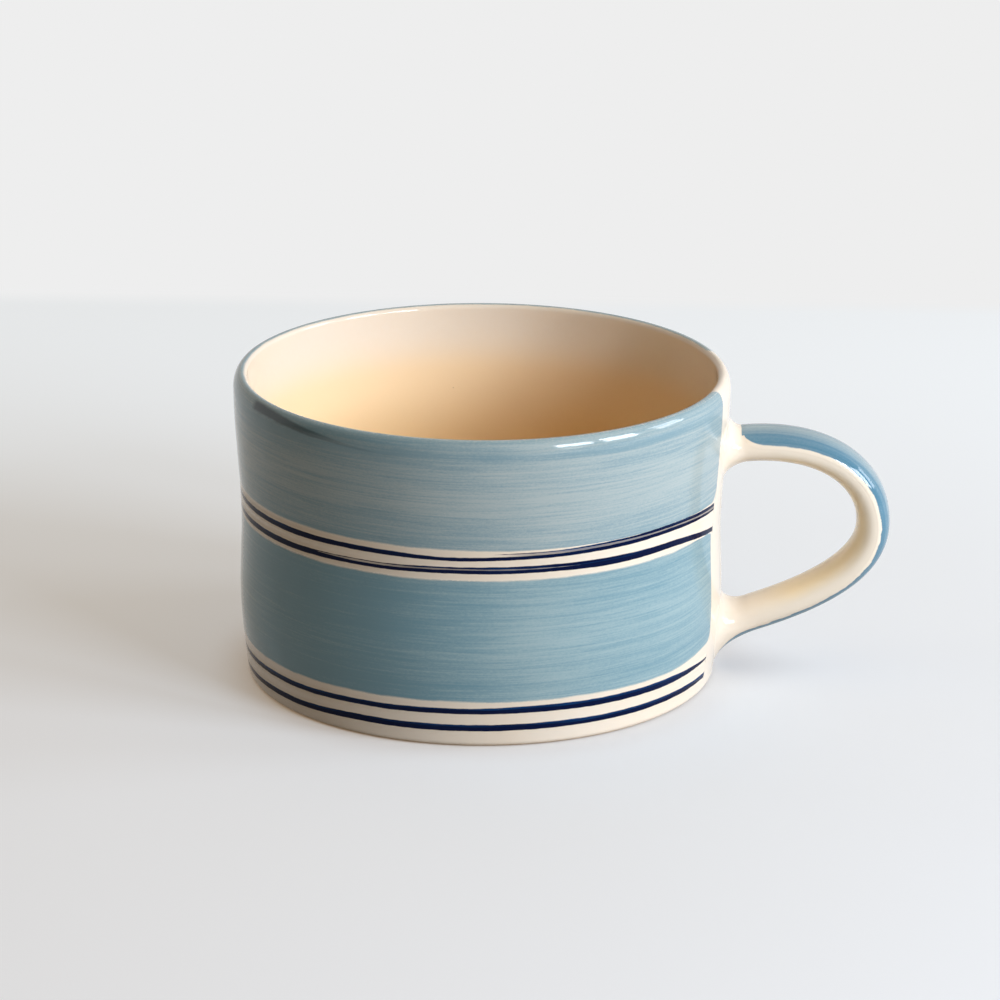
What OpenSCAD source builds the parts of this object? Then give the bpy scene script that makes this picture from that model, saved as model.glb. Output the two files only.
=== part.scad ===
// Low, wide soup mug: a cup thrown on the wheel, with a pulled strap handle luted to its side.
// Two bands of brushed blue slip and two pairs of dark blue lines run round the cream wall
// and stop short of the handle. Millimetres, +Z up. The origin is on the cup's axis, in the
// plane that the foot stands on, and the handle points along +X.

/* [Cup] */
// Outside diameter at the rim
rim_d = 117; // [100:0.5:140]
// Height from the foot to the crest of the lip
cup_h = 73.5; // [62:0.5:95]
// How far the wall draws in from the rim's line at the waist, between the two colour bands
waist_inset = 1.6; // [0:0.1:8]
// How far inside the rim's line the belly lies, behind the lower band
belly_inset = 1.15; // [0:0.05:8]
// How far inside the rim's line the foot lies, before its edge is rounded
foot_inset = 2.8; // [0.5:0.1:12]
// Thickness of the wall at the belly
wall_t = 4.4; // [3:0.1:7]
// Thickness of the wall just below the lip
lip_t = 3.2; // [2.6:0.1:6]
// How far the lip's outer face leans in from the wall's line to its crest
lip_lean_w = 2; // [1:0.1:2.2]
// Height over which the lip's outer face leans in
lip_lean_h = 3.6; // [1.5:0.1:6]
// Thickness of the floor
floor_t = 5.5; // [4:0.1:9]
// Radius of the hollow where the wall meets the floor inside
hollow_r = 9; // [4:0.5:16]
// Radius of the foot's outer edge
foot_edge_r = 1.4; // [0.6:0.1:3]
// Width of the flat ring that the mug stands on
foot_ring_w = 7; // [3:0.5:14]
// Depth of the turned recess inside that ring
foot_recess = 1.2; // [0.4:0.1:2.5]

/* [Handle] */
// Width of the strap where it leaves the upper root
strap_w = 14; // [10:0.2:20]
// Width of the strap where it comes back to the lower root
strap_end_w = 13; // [9:0.2:19]
// Thickness of the strap
strap_t = 7.9; // [6:0.1:11]
// Reach of the strap's centre line past the rim
handle_reach = 34.4; // [26:0.2:46]
// Bare wall from the crest of the lip down to the upper root
lip_clear = 10.2; // [5:0.2:16]
// Bare wall from the foot up to the lower root
foot_clear = 1.4; // [1:0.1:8]
// How far the upper root spreads up the wall past the strap
upper_root_rise = 4; // [2:0.2:9]
// How far the upper root spreads down the wall past the strap
upper_root_drop = 3.4; // [2:0.2:9]
// How far the lower root spreads up the wall past the strap
lower_root_rise = 4.6; // [2:0.2:12]
// How far the lower root spreads down the wall past the strap
lower_root_drop = 5.8; // [3:0.2:9]
// How far a root spreads sideways past the strap
root_flare_w = 3.2; // [1.5:0.1:6]
// How far the upper root's fillet is filled out from the wall
upper_root_fill = 0.3; // [0:0.1:3]
// How far the lower root's fillet is filled out from the wall
lower_root_fill = 0; // [0:0.1:5]
// Length of the strap that the upper root's fillet takes up
upper_neck_l = 4.4; // [3:0.2:12]
// Length of the strap that the lower root's fillet takes up
lower_neck_l = 8.6; // [4:0.2:16]
// Thickness of a root at its rim
root_edge_t = 0.4; // [0.2:0.1:1]
// Thickness of the luting slip between a root and the wall
luting_t = 0.5; // [0.3:0.1:1]

/* [Slip decoration] */
// Thickness of the coloured slip
slip_t = 0.2; // [0.1:0.05:0.4]
// Height of the upper band below the crest of the lip
upper_band_h = 25.9; // [14:0.1:34]
// Width of each dark line at the waist
waist_line_w = 1.5; // [0.8:0.1:3]
// Bare clay above, between and below the waist lines
waist_line_gap = 1.4; // [0.6:0.1:3]
// Bare clay between the lower band and the lines at the foot
foot_band_gap = 1.3; // [0.6:0.1:3]
// Width of each dark line at the foot
foot_line_w = 1.8; // [0.8:0.1:3]
// Bare clay between the two lines at the foot
foot_line_gap = 2.5; // [0.8:0.1:5]
// Bare clay between the lowest line and the table
foot_margin = 3.9; // [2:0.1:8]
// Bare clay at the side of the upper root, as far as the paint beside it
upper_bare_w = 4.2; // [0.4:0.1:8]
// Bare clay at the side of the lower root, as far as the paint beside it
lower_bare_w = 7.2; // [0.4:0.1:12]
// Radius of a band's corners beside the handle
band_corner_r = 5; // [1:0.5:7]

/* [Hidden] */
$fn = 128;

cream = [0.90, 0.84, 0.76];
bare_clay = [0.80, 0.70, 0.58];
mid_blue = [0.44, 0.54, 0.58];
dark_blue = [0.05, 0.07, 0.16];

// Heights of the belly and the waist, as shares of the cup's height
belly_share = 0.30;
waist_share = 0.51;
// The paint runs up the lip's outer face to this angle of its rounding, where the crest is at 90
lip_cover_angle = 80;
// The slip's under face clears the clay by this much, so that no flat of one cuts the other
slip_seat = 0.06;
slip_face = slip_seat + slip_t;

rim_r = rim_d / 2;
waist_r = rim_r - waist_inset;
belly_r = rim_r - belly_inset;
foot_r = rim_r - foot_inset;
lip_crest_r = rim_r - lip_lean_w;
lip_edge_r = lip_t - lip_lean_w;
belly_z = belly_share * cup_h;
waist_z = waist_share * cup_h;
rim_z = cup_h - lip_lean_h;
lip_edge_z = cup_h - lip_edge_r;
hollow_z = floor_t + hollow_r;
wall_steps = 30;
arc_steps = 9;

// Paint heights, from the lip down and from the foot up
upper_band_z = cup_h - upper_band_h;
waist_line_upper_z = upper_band_z - waist_line_gap - waist_line_w;
waist_line_lower_z = waist_line_upper_z - waist_line_gap - waist_line_w;
lower_band_top_z = waist_line_lower_z - waist_line_gap;
foot_line_lower_z = foot_margin;
foot_line_upper_z = foot_line_lower_z + foot_line_w + foot_line_gap;
lower_band_z = foot_line_upper_z + foot_line_w + foot_band_gap;

// Roots of the handle: their half widths on the wall and the heights where the strap meets it
strap_half_t = strap_t / 2;
upper_root_half_w = strap_w / 2 + root_flare_w;
lower_root_half_w = strap_end_w / 2 + root_flare_w;
upper_root_z = cup_h - lip_clear - upper_root_rise - strap_half_t;
lower_root_z = foot_clear + lower_root_drop + strap_half_t;

// The bow's control points, as shares of the reach outward and of the drop to the bow's middle
bow_height_share = 0.578;
upper_bow_shares = [[0, 1], [0.635, 1.2], [1, 0.67], [1, 0]];
lower_bow_shares = [[1, 1], [1, 0.516], [0.526, 0.22], [0, 0]];
bow_r = rim_r + handle_reach;
bow_z = lower_root_z + bow_height_share * (upper_root_z - lower_root_z);

// The strap's rounded section: 2 is an ellipse, and more is squarer
section_power = 2.2;
section_sides = 36;
strap_rings = 36;
fillet_rings = 5;
// Rings of a root's face on the wall, as shares of its size
root_face_shares = [0.25, 0.5, 0.75, 1];

// The brush stroke on the strap: its spread over the section at both ends, its sides and its ends
stroke_half_angle = 78;
stroke_end_half_angle = 60;
stroke_sides = 12;
stroke_start_share = -0.45;
stroke_end_share = 2.95;
stroke_tip_length_share = 0.35;
stroke_tip_width_share = 0.3;

function mix(a, b, t) = a + (b - a) * t;
function ease(t) = t * t * (3 - 2 * t);
function reversed(list) = [for (i = [len(list) - 1 : -1 : 0]) list[i]];
function unit(v) = v / norm(v);
function degrees_along(length, radius) = length / radius * 180 / PI;

// Outside radius of the wall at a height: foot to belly, in to the waist, out to the rim
function wall_r(z) =
    z < belly_z ? mix(foot_r, belly_r, sin(90 * z / belly_z)) :
    z < waist_z ? mix(belly_r, waist_r, ease((z - belly_z) / (waist_z - belly_z))) :
    mix(waist_r, rim_r, ease((z - waist_z) / (rim_z - waist_z)));

// Inside radius of the wall, which thins towards the lip and is upright inside it
function inside_r(z) =
    let (below = min(z, rim_z))
    wall_r(below) - mix(wall_t, lip_t, ease((below - hollow_z) / (rim_z - hollow_z)));

function wall_path(z_from, z_to, out = 0, steps = wall_steps) =
    [for (i = [0 : steps]) let (z = mix(z_from, z_to, i / steps)) [wall_r(z) + out, z]];

function arc_path(centre, r, from, to) =
    [for (i = [1 : arc_steps]) let (a = mix(from, to, i / arc_steps)) centre + r * [cos(a), sin(a)]];

// The lip's outer face, which leans in from the wall's line to the crest as a quarter of an ellipse
function lip_path(out, to) =
    [for (i = [1 : arc_steps])
        let (a = to * i / arc_steps)
        [lip_crest_r + (lip_lean_w + out) * cos(a), rim_z + (lip_lean_h + out) * sin(a)]];

module mug_body() {
    foot_flat_r = wall_r(foot_edge_r) - foot_edge_r;
    ring_in_r = foot_flat_r - foot_ring_w;
    underside = [[0, foot_recess], [ring_in_r - foot_recess, foot_recess], [ring_in_r, 0], [foot_flat_r, 0]];
    foot_edge = arc_path([foot_flat_r, foot_edge_r], foot_edge_r, -90, 0);
    outside = [for (i = [1 : wall_steps]) wall_path(foot_edge_r, rim_z)[i]];
    lip_edge = arc_path([lip_crest_r, lip_edge_z], lip_edge_r, 90, 180);
    inside = [for (i = [1 : wall_steps])
        let (z = mix(lip_edge_z, hollow_z, i / wall_steps)) [inside_r(z), z]];
    hollow = arc_path([inside_r(hollow_z) - hollow_r, hollow_z], hollow_r, 0, -90);
    color(cream)
        rotate_extrude()
            polygon(concat(
                underside, foot_edge, outside, lip_path(0, 90), lip_edge, inside, hollow, [[0, floor_t]]
            ));
}

// Half the angle that the paint leaves bare at the handle
function bare_angle(root_half_w, bare_w) = degrees_along(root_half_w + bare_w, waist_r);
upper_bare_angle = bare_angle(upper_root_half_w, upper_bare_w);
lower_bare_angle = bare_angle(lower_root_half_w, lower_bare_w);

// A section of slip turned round the cup, open at the handle
module turned_slip(outline, bare)
    rotate([0, 0, bare])
        rotate_extrude(angle = 360 - 2 * bare)
            polygon(outline);

// Cuts the corner of a band's end to a round one: side is 1 or -1 of the handle, up is 1 at a lower edge.
// The round's centre lies a little nearer the corner than its radius, so it crosses the band's edges.
corner_centre_share = 0.97;
cut_overrun = 1;
module corner_cut(bare, side, z, up, r) {
    centre = corner_centre_share * r;
    function low(way) = way > 0 ? -cut_overrun : -centre;
    rotate([0, 0, side * bare])
        translate([0, 0, z])
            rotate([90, 0, 90])
                linear_extrude(rim_d)
                    difference() {
                        translate([low(side), low(up)])
                            square(centre + cut_overrun);
                        translate(centre * [side, up])
                            circle(r);
                    }
}

function wall_slip(z_from, z_to, steps) =
    concat(wall_path(z_from, z_to, slip_seat, steps), reversed(wall_path(z_from, z_to, slip_face, steps)));

// A band or a line of slip between two heights, with round corners beside the handle
module slip_ring(z_from, z_to, bare, corner_r, steps)
    difference() {
        turned_slip(wall_slip(z_from, z_to, steps), bare);
        for (side = [-1, 1]) {
            corner_cut(bare, side, z_from, 1, corner_r);
            corner_cut(bare, side, z_to, -1, corner_r);
        }
    }

module upper_blue_band() {
    laid = concat(wall_path(upper_band_z, rim_z, slip_seat), lip_path(slip_seat, lip_cover_angle));
    face = concat(wall_path(upper_band_z, rim_z, slip_face), lip_path(slip_face, lip_cover_angle));
    color(mid_blue)
        difference() {
            turned_slip(concat(laid, reversed(face)), upper_bare_angle);
            for (side = [-1, 1])
                corner_cut(upper_bare_angle, side, upper_band_z, 1, band_corner_r);
        }
}

module lower_blue_band()
    color(mid_blue)
        slip_ring(lower_band_z, lower_band_top_z, lower_bare_angle, band_corner_r, wall_steps);

// A single turn of the brush, whose ends are nearly round
line_end_share = 0.45;
line_steps = 2;
module painted_line(z, w, bare)
    color(dark_blue)
        slip_ring(z, z + w, bare, line_end_share * w, line_steps);

module waist_line_upper()
    painted_line(waist_line_upper_z, waist_line_w, upper_bare_angle);

module waist_line_lower()
    painted_line(waist_line_lower_z, waist_line_w, upper_bare_angle);

module foot_line_upper()
    painted_line(foot_line_upper_z, foot_line_w, lower_bare_angle);

module foot_line_lower()
    painted_line(foot_line_lower_z, foot_line_w, lower_bare_angle);

// Centre line of the bow in the plane of X and Z: 0 is at the upper root, 1 at the bow, 2 at the lower root
upper_curve = [for (s = upper_bow_shares)
    [mix(wall_r(upper_root_z), bow_r, s[0]), mix(bow_z, upper_root_z, s[1])]];
lower_curve = [for (s = lower_bow_shares)
    [mix(wall_r(lower_root_z), bow_r, s[0]), mix(lower_root_z, bow_z, s[1])]];

function curve_point(p, t) =
    let (u = 1 - t)
    u * u * u * p[0] + 3 * u * u * t * p[1] + 3 * u * t * t * p[2] + t * t * t * p[3];

function curve_slope(p, t) =
    let (u = 1 - t)
    3 * (u * u * (p[1] - p[0]) + 2 * u * t * (p[2] - p[1]) + t * t * (p[3] - p[2]));

function bow_point(s) = s < 1 ? curve_point(upper_curve, s) : curve_point(lower_curve, s - 1);
function bow_heading(s) = unit(s < 1 ? curve_slope(upper_curve, s) : curve_slope(lower_curve, s - 1));

upper_neck = upper_neck_l / norm(curve_slope(upper_curve, 0));
lower_neck = 2 - lower_neck_l / norm(curve_slope(lower_curve, 1));

function rounded(c) = sign(c) * pow(abs(c), 2 / section_power);

// The section at an angle: how far across the strap, and how far out from its centre line
function section(a, w) = [w / 2 * rounded(cos(a)), strap_half_t * rounded(sin(a))];

function strap_point(a, s) =
    let (
        centre = bow_point(s),
        heading = bow_heading(s),
        at = section(a, mix(strap_w, strap_end_w, s / 2)),
        out = at[1] * [-heading[1], heading[0]]
    )
    [centre[0] + out[0], at[0], centre[1] + out[1]];

// A point that lies on the wall, lifted off it, from its place across and up from a root's middle
function on_wall(root_z, across, up, lift) =
    let (z = root_z + up, r = wall_r(z), turn = degrees_along(across, r))
    [(r + lift) * cos(turn), (r + lift) * sin(turn), z];

// What a root holds: its height, its half width, how far it spreads up and down from the strap's
// centre line, whether the strap's outer face is its upper side (1) or its lower side (-1), the
// strap's width there, where the fillet ends along the bow, and how far the fillet is filled out
AT_Z = 0;
HALF_W = 1;
UP_H = 2;
DOWN_H = 3;
FACE = 4;
STRAP_W = 5;
NECK = 6;
FILL = 7;
upper_root = [
    upper_root_z, upper_root_half_w, strap_half_t + upper_root_rise, strap_half_t + upper_root_drop,
    1, strap_w, upper_neck, upper_root_fill
];
lower_root = [
    lower_root_z, lower_root_half_w, strap_half_t + lower_root_rise, strap_half_t + lower_root_drop,
    -1, strap_end_w, lower_neck, lower_root_fill
];

function root_rim(root, a, share, lift) =
    let (up = root[FACE] * sin(a), reach = up > 0 ? root[UP_H] : root[DOWN_H])
    on_wall(root[AT_Z], share * root[HALF_W] * cos(a), share * reach * up, lift);

// The fillet of a root: 0 at its rim on the wall, 1 where it has become the strap
function root_point(root, a, t) =
    let (
        lift = luting_t + root_edge_t,
        at = section(a, root[STRAP_W]),
        rim = root_rim(root, a, 1, lift),
        corner = on_wall(root[AT_Z], at[0], root[FACE] * at[1], lift + root[FILL]),
        neck = strap_point(a, root[NECK])
    )
    (1 - t) * (1 - t) * rim + 2 * t * (1 - t) * corner + t * t * neck;

// The handle's surface: -1 to 0 is the upper root, 0 to 2 the strap and 2 to 3 the lower root
function handle_point(a, q) =
    q < 0 ? root_point(upper_root, a, q + 1) :
    q > 2 ? root_point(lower_root, a, 3 - q) :
    strap_point(a, mix(upper_neck, lower_neck, q / 2));

// Small steps along the handle's surface, which give its outward direction
angle_step = 0.5;
along_step = 0.01;
function handle_out(a, q) =
    unit(cross(
        handle_point(a + angle_step, q) - handle_point(a - angle_step, q),
        handle_point(a, q + along_step) - handle_point(a, q - along_step)
    ));

// A closed skin over rings of equal size, from one middle point to another
module skin(first, rings, last) {
    n = len(rings[0]);
    top = len(rings) * n;
    sides = [for (i = [0 : len(rings) - 2], j = [0 : n - 1])
        let (k = (j + 1) % n)
        each [
            [i * n + j, (i + 1) * n + j, (i + 1) * n + k],
            [i * n + j, (i + 1) * n + k, i * n + k]
        ]];
    start = [for (j = [0 : n - 1]) [top, j, (j + 1) % n]];
    end = [for (j = [0 : n - 1]) [top + 1, top - n + (j + 1) % n, top - n + j]];
    polyhedron(concat([for (ring = rings) each ring], [first, last]), concat(sides, start, end));
}

section_angles = [for (j = [0 : section_sides - 1]) j * 360 / section_sides];

function root_face(root, lift) =
    [for (share = root_face_shares) [for (a = section_angles) root_rim(root, a, share, lift)]];

module handle() {
    stations = concat(
        [for (i = [0 : fillet_rings - 1]) i / fillet_rings - 1],
        [for (i = [0 : strap_rings]) 2 * i / strap_rings],
        [for (i = [1 : fillet_rings]) 2 + i / fillet_rings]
    );
    skins = [for (q = stations) [for (a = section_angles) handle_point(a, q)]];
    color(cream)
        skin(
            on_wall(upper_root_z, 0, 0, luting_t),
            concat(root_face(upper_root, luting_t), skins, reversed(root_face(lower_root, luting_t))),
            on_wall(lower_root_z, 0, 0, luting_t)
        );
}

// The layer of slip that sticks a root to the wall, skinned from one lift off the wall to the other
module luting_slip(root, from, to)
    color(bare_clay)
        skin(
            on_wall(root[AT_Z], 0, 0, from),
            concat(root_face(root, from), reversed(root_face(root, to))),
            on_wall(root[AT_Z], 0, 0, to)
        );

module upper_luting_slip()
    luting_slip(upper_root, 0, luting_t);

// The lower root's rings run the other way round, so its skin starts from the handle's side
module lower_luting_slip()
    luting_slip(lower_root, luting_t, 0);

// A thin layer between two grids of points that have the same rows and columns
module layer(under, over) {
    rows = len(under);
    n = len(under[0]);
    lift = rows * n;
    function quad(a, b, c, d) = [[a, b, c], [a, c, d]];
    faces = [for (i = [0 : rows - 2], j = [0 : n - 2])
        let (a = i * n + j, b = a + n, c = b + 1, d = a + 1)
        each concat(quad(lift + a, lift + b, lift + c, lift + d), quad(a, d, c, b))];
    sides = [for (i = [0 : rows - 2])
        let (a = i * n, b = a + n, c = b - 1, d = c + n)
        each concat(quad(a, b, lift + b, lift + a), quad(c, lift + c, lift + d, d))];
    ends = [for (j = [0 : n - 2])
        let (a = j, b = j + 1, c = lift - n + j, d = c + 1)
        each concat(quad(a, lift + a, lift + b, b), quad(c, d, lift + d, lift + c))];
    polyhedron(concat([for (row = under) each row], [for (row = over) each row]), concat(faces, sides, ends));
}

// How wide the stroke is along the handle, rounded off at its two tips
function stroke_share(q) =
    let (
        from_tip = min(q - stroke_start_share, stroke_end_share - q),
        short = 1 - min(from_tip / stroke_tip_length_share, 1)
    )
    mix(stroke_tip_width_share, 1, sqrt(1 - short * short));

module handle_blue_stroke() {
    stations = [for (i = [0 : strap_rings]) mix(stroke_start_share, stroke_end_share, i / strap_rings)];
    function half_angle(q) =
        stroke_share(q) * mix(stroke_half_angle, stroke_end_half_angle, q / stroke_end_share);
    function turns(q) = [for (j = [0 : stroke_sides]) 90 + half_angle(q) * (2 * j / stroke_sides - 1)];
    function grid(out) =
        [for (q = stations) [for (a = turns(q)) handle_point(a, q) + out * handle_out(a, q)]];
    color(mid_blue)
        layer(grid(slip_seat), grid(slip_face));
}

mug_body();
handle();
upper_luting_slip();
lower_luting_slip();
upper_blue_band();
waist_line_upper();
waist_line_lower();
lower_blue_band();
foot_line_upper();
foot_line_lower();
handle_blue_stroke();
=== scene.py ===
"""Looks of a low, wide soup mug: a thrown cup with brushed blue bands, dark lines and a pulled handle.

Lengths are in metres. Angles that a class holds as a size are in degrees, unless it says otherwise,
and those in the maths are in radians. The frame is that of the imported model: +Z up, the origin on the
cup's axis in the plane that the foot stands on, and the handle along +X.
"""

import logging
import math
from collections.abc import Callable, Sequence
from dataclasses import dataclass
from enum import Enum
from typing import Any

import bmesh
import bpy
import numpy as np
from bpy.types import Material, Mesh, Node, NodeSocket, NodeTree, Object
from mathutils import Matrix, Vector


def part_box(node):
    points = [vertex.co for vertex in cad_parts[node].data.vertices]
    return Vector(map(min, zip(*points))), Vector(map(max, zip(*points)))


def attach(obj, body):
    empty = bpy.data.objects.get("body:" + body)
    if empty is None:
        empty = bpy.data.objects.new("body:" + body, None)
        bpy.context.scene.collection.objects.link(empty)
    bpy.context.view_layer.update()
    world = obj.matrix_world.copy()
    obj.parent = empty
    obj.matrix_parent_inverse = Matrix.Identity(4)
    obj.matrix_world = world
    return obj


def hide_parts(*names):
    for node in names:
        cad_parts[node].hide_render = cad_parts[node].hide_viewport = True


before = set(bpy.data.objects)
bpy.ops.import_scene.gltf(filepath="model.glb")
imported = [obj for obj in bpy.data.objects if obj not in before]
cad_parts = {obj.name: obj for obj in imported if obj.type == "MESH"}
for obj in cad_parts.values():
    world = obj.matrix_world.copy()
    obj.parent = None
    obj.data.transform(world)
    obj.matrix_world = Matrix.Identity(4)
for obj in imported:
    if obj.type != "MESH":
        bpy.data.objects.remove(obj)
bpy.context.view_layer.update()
LOG = logging.getLogger("soup_mug")
Colour = tuple[float, float, float]
Sizes = tuple[float, float, float]
Span = tuple[float, float]
# Angles from the handle, in degrees, at which a stroke's sway, width, and load of slip with painted shade
# are given.
TURNS = (60.0, 190.0, 220.0, 245.0, 265.0, 285.0, 305.0, 318.0, 355.0)
SWAYS = tuple(f"Sway at {place:.0f}" for place in TURNS)


class Slot(Enum):
    """Material slots of the record, named for the pieces' finishes."""

    CREAM = "cream_glazed_clay"
    BLUE = "blue_slip"
    DARK_BLUE = "dark_blue_slip"


class Input(Enum):
    """Kinds of input that a shape tree has."""

    NUMBER = "NodeSocketFloat"
    COUNT = "NodeSocketInt"
    THING = "NodeSocketObject"
    FINISH = "NodeSocketMaterial"


def math_node(operation: str, flipped: bool = False) -> "Callable[[Signal, Term], Signal]":
    """A method of a Signal that adds one Math node on it and another value.

    Args:
        operation: the node's operation.
        flipped: whether the other value comes first.

    Returns:
        The method.
    """
    def method(self: "Signal", other: "Term") -> "Signal":
        """The operation on the two."""
        return self.wires.maths(operation, *((other, self) if flipped else (self, other)))

    return method


class Signal:
    """A node's output that takes part in arithmetic: each operation adds one Math node."""

    def __init__(self, wires: "Wires", socket: NodeSocket) -> None:
        """Keeps the socket and the tree that it is in."""
        self.wires = wires
        self.socket = socket

    __add__ = __radd__ = math_node("ADD")
    __mul__ = __rmul__ = math_node("MULTIPLY")
    __sub__ = math_node("SUBTRACT")
    __rsub__ = math_node("SUBTRACT", flipped=True)
    __truediv__ = math_node("DIVIDE")
    __rtruediv__ = math_node("DIVIDE", flipped=True)
    least = math_node("MINIMUM")
    most = math_node("MAXIMUM")

    def __neg__(self) -> "Signal":
        """This with its sign turned."""
        return self.wires.maths("MULTIPLY", self, -1.0)

    def __abs__(self) -> "Signal":
        """This without its sign."""
        return self.wires.maths("ABSOLUTE", self)

    def rise(self, low: "Term", high: "Term") -> "Signal":
        """A smooth step from 0 at low to 1 at high."""
        settings = {"interpolation_type": "SMOOTHSTEP"}
        places = {"Value": self, "From Min": low, "From Max": high}
        return self.wires.out(self.wires.node("ShaderNodeMapRange", settings, places), "Result")


Term = Signal | float | int


class Wires:
    """Adds nodes to a shader tree or a shape tree and links them."""

    def __init__(self, tree: NodeTree) -> None:
        """Keeps the tree that the nodes go into."""
        self.tree = tree

    @staticmethod
    def _socket(sockets: Any, key: str | int) -> NodeSocket:
        """Finds a socket by its place, or by the name of one that is in use."""
        if isinstance(key, int):
            return sockets[key]
        return next(s for s in sockets if s.name == key and s.enabled)

    def node(self, kind: str, settings: dict[str, Any] | None = None,
             places: dict[str | int, Any] | None = None) -> Node:
        """Adds any node.

        Args:
            kind: the node's type.
            settings: the node's own choices, set before its sockets.
            places: values or links of its input sockets, by name or place.

        Returns:
            The new node.
        """
        made = self.tree.nodes.new(kind)
        for name, value in (settings or {}).items():
            setattr(made, name, value)
        for key, value in (places or {}).items():
            socket = self._socket(made.inputs, key)
            if isinstance(value, Signal):
                self.tree.links.new(value.socket, socket)
            elif socket.type == "RGBA":
                socket.default_value = (*value, 1.0)
            else:
                socket.default_value = value
        return made

    def out(self, node: Node, key: str | int = 0) -> Signal:
        """A node's output, ready for arithmetic."""
        return Signal(self, self._socket(node.outputs, key))

    def flow(self, kind: str, places: dict[str | int, Any] | None = None, key: str | int = 0) -> Signal:
        """Adds a node that has no choices to set, and gives one of its outputs."""
        return self.out(self.node(kind, None, places), key)

    def maths(self, operation: str, *terms: Term) -> Signal:
        """One Math node on the terms."""
        return self.out(self.node("ShaderNodeMath", {"operation": operation}, dict(enumerate(terms))))

    def vector(self, x: Term, y: Term, z: Term) -> Signal:
        """A vector from three values."""
        return self.flow("ShaderNodeCombineXYZ", {0: x, 1: y, 2: z})

    def parts(self, vector: Signal) -> list[Signal]:
        """The three values of a vector."""
        node = self.node("ShaderNodeSeparateXYZ", None, {0: vector})
        return [self.out(node, axis) for axis in range(3)]

    def along(self, operation: str, first: Any, second: Any) -> Signal:
        """One Vector Math node on two vectors."""
        return self.out(self.node("ShaderNodeVectorMath", {"operation": operation}, {0: first, 1: second}))

    def blend(self, share: Term, first: Any, second: Any) -> Signal:
        """A colour between two others."""
        places = {"Factor": share, "A": first, "B": second}
        return self.out(self.node("ShaderNodeMix", {"data_type": "RGBA"}, places), "Result")

    def noise(self, place: Signal, detail: float = 2.0, roughness: float = 0.5) -> Signal:
        """Smooth noise about 0, from about -0.5 to 0.5."""
        places = {"Vector": place, "Scale": 1.0, "Detail": detail, "Roughness": roughness}
        return self.flow("ShaderNodeTexNoise", places, "Fac") - 0.5

    def grained(self, place: Signal, sizes: Sizes, detail: float = 2.0,
                roughness: float = 0.5) -> Signal:
        """Smooth noise about 0, with features of about the given size along each axis."""
        return self.noise(self.along("DIVIDE", place, sizes), detail, roughness)

    def place(self) -> Signal:
        """Where a point lies on its piece."""
        return self.flow("ShaderNodeTexCoord", key="Object")

    def turn(self, place: Signal) -> Signal:
        """The angle about the cup's axis, from 0 to a whole turn."""
        x, y, _ = self.parts(place)
        return self.maths("FLOORED_MODULO", self.maths("ARCTAN2", y, x), math.tau)


class ShapeTree(Wires):
    """A Geometry Nodes tree with named inputs, run once on a guide mesh."""

    def __init__(self, name: str, inputs: dict[str, Input]) -> None:
        """Makes the tree's interface.

        Args:
            name: the tree's name.
            inputs: the kind of each named input.
        """
        super().__init__(bpy.data.node_groups.new(name, "GeometryNodeTree"))
        face = self.tree.interface
        face.new_socket("Geometry", in_out="INPUT", socket_type="NodeSocketGeometry")
        face.new_socket("Geometry", in_out="OUTPUT", socket_type="NodeSocketGeometry")
        self.keys = {label: face.new_socket(label, in_out="INPUT", socket_type=kind.value).identifier
                     for label, kind in inputs.items()}
        self.start = self.node("NodeGroupInput")

    def given(self, label: str) -> Signal:
        """A named input of the tree."""
        return self.out(self.start, label)

    def close(self, geometry: Signal, merge: float) -> None:
        """Merges doubles, smooths, realizes and gives the material to what the tree has made."""
        steps = {"GeometryNodeMergeByDistance": {"Distance": merge}, "GeometryNodeSetShadeSmooth": {},
                 "GeometryNodeRealizeInstances": {},
                 "GeometryNodeSetMaterial": {"Material": self.given("Material")}}
        for kind, places in steps.items():
            geometry = self.flow(kind, {"Geometry": geometry, **places})
        self.node("NodeGroupOutput", None, {"Geometry": geometry})

    def run(self, name: str, guide: Mesh, values: dict[str, Any]) -> Object:
        """Makes a piece from the tree.

        Args:
            name: the piece's name.
            guide: the mesh that the tree starts from.
            values: a value for each named input.

        Returns:
            The piece, as a plain mesh with no modifier.
        """
        piece = linked(name, guide)
        modifier = piece.modifiers.new("shape", "NODES")
        modifier.node_group = self.tree
        for label, value in values.items():
            modifier[self.keys[label]] = value
        graph = bpy.context.evaluated_depsgraph_get()
        mesh = bpy.data.meshes.new_from_object(
            piece.evaluated_get(graph), preserve_all_data_layers=True, depsgraph=graph)
        piece.modifiers.remove(modifier)
        piece.data = mesh
        mesh.name = name
        return piece


def linked(name: str, data: Any) -> Object:
    """Puts a mesh, a lamp or a camera into the scene."""
    thing = bpy.data.objects.new(name, data)
    bpy.context.scene.collection.objects.link(thing)
    return thing


def hand_over(piece: Object, slot: Slot, *nodes: str) -> None:
    """Gives a finished piece to the frame.

    Args:
        piece: the piece, in its place.
        slot: the record's slot that its finish belongs to; not used.
        nodes: the CAD nodes that it stands for.
    """
    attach(piece, "root")
    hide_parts(*nodes)
    LOG.info("%s: %d faces, for %s", piece.name, len(piece.data.polygons), ", ".join(nodes))


def between(first: Any, second: Any, share: Any) -> Any:
    """A value part of the way from the first to the second."""
    return first + (second - first) * share


def eased(share: np.ndarray) -> np.ndarray:
    """A smooth step from 0 to 1."""
    return share * share * (3.0 - 2.0 * share)


def run_length(points: np.ndarray) -> np.ndarray:
    """Distance along a chain of points, from the first one to each of them."""
    return np.concatenate(([0.0], np.cumsum(np.linalg.norm(np.diff(points, axis=0), axis=1))))


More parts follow.
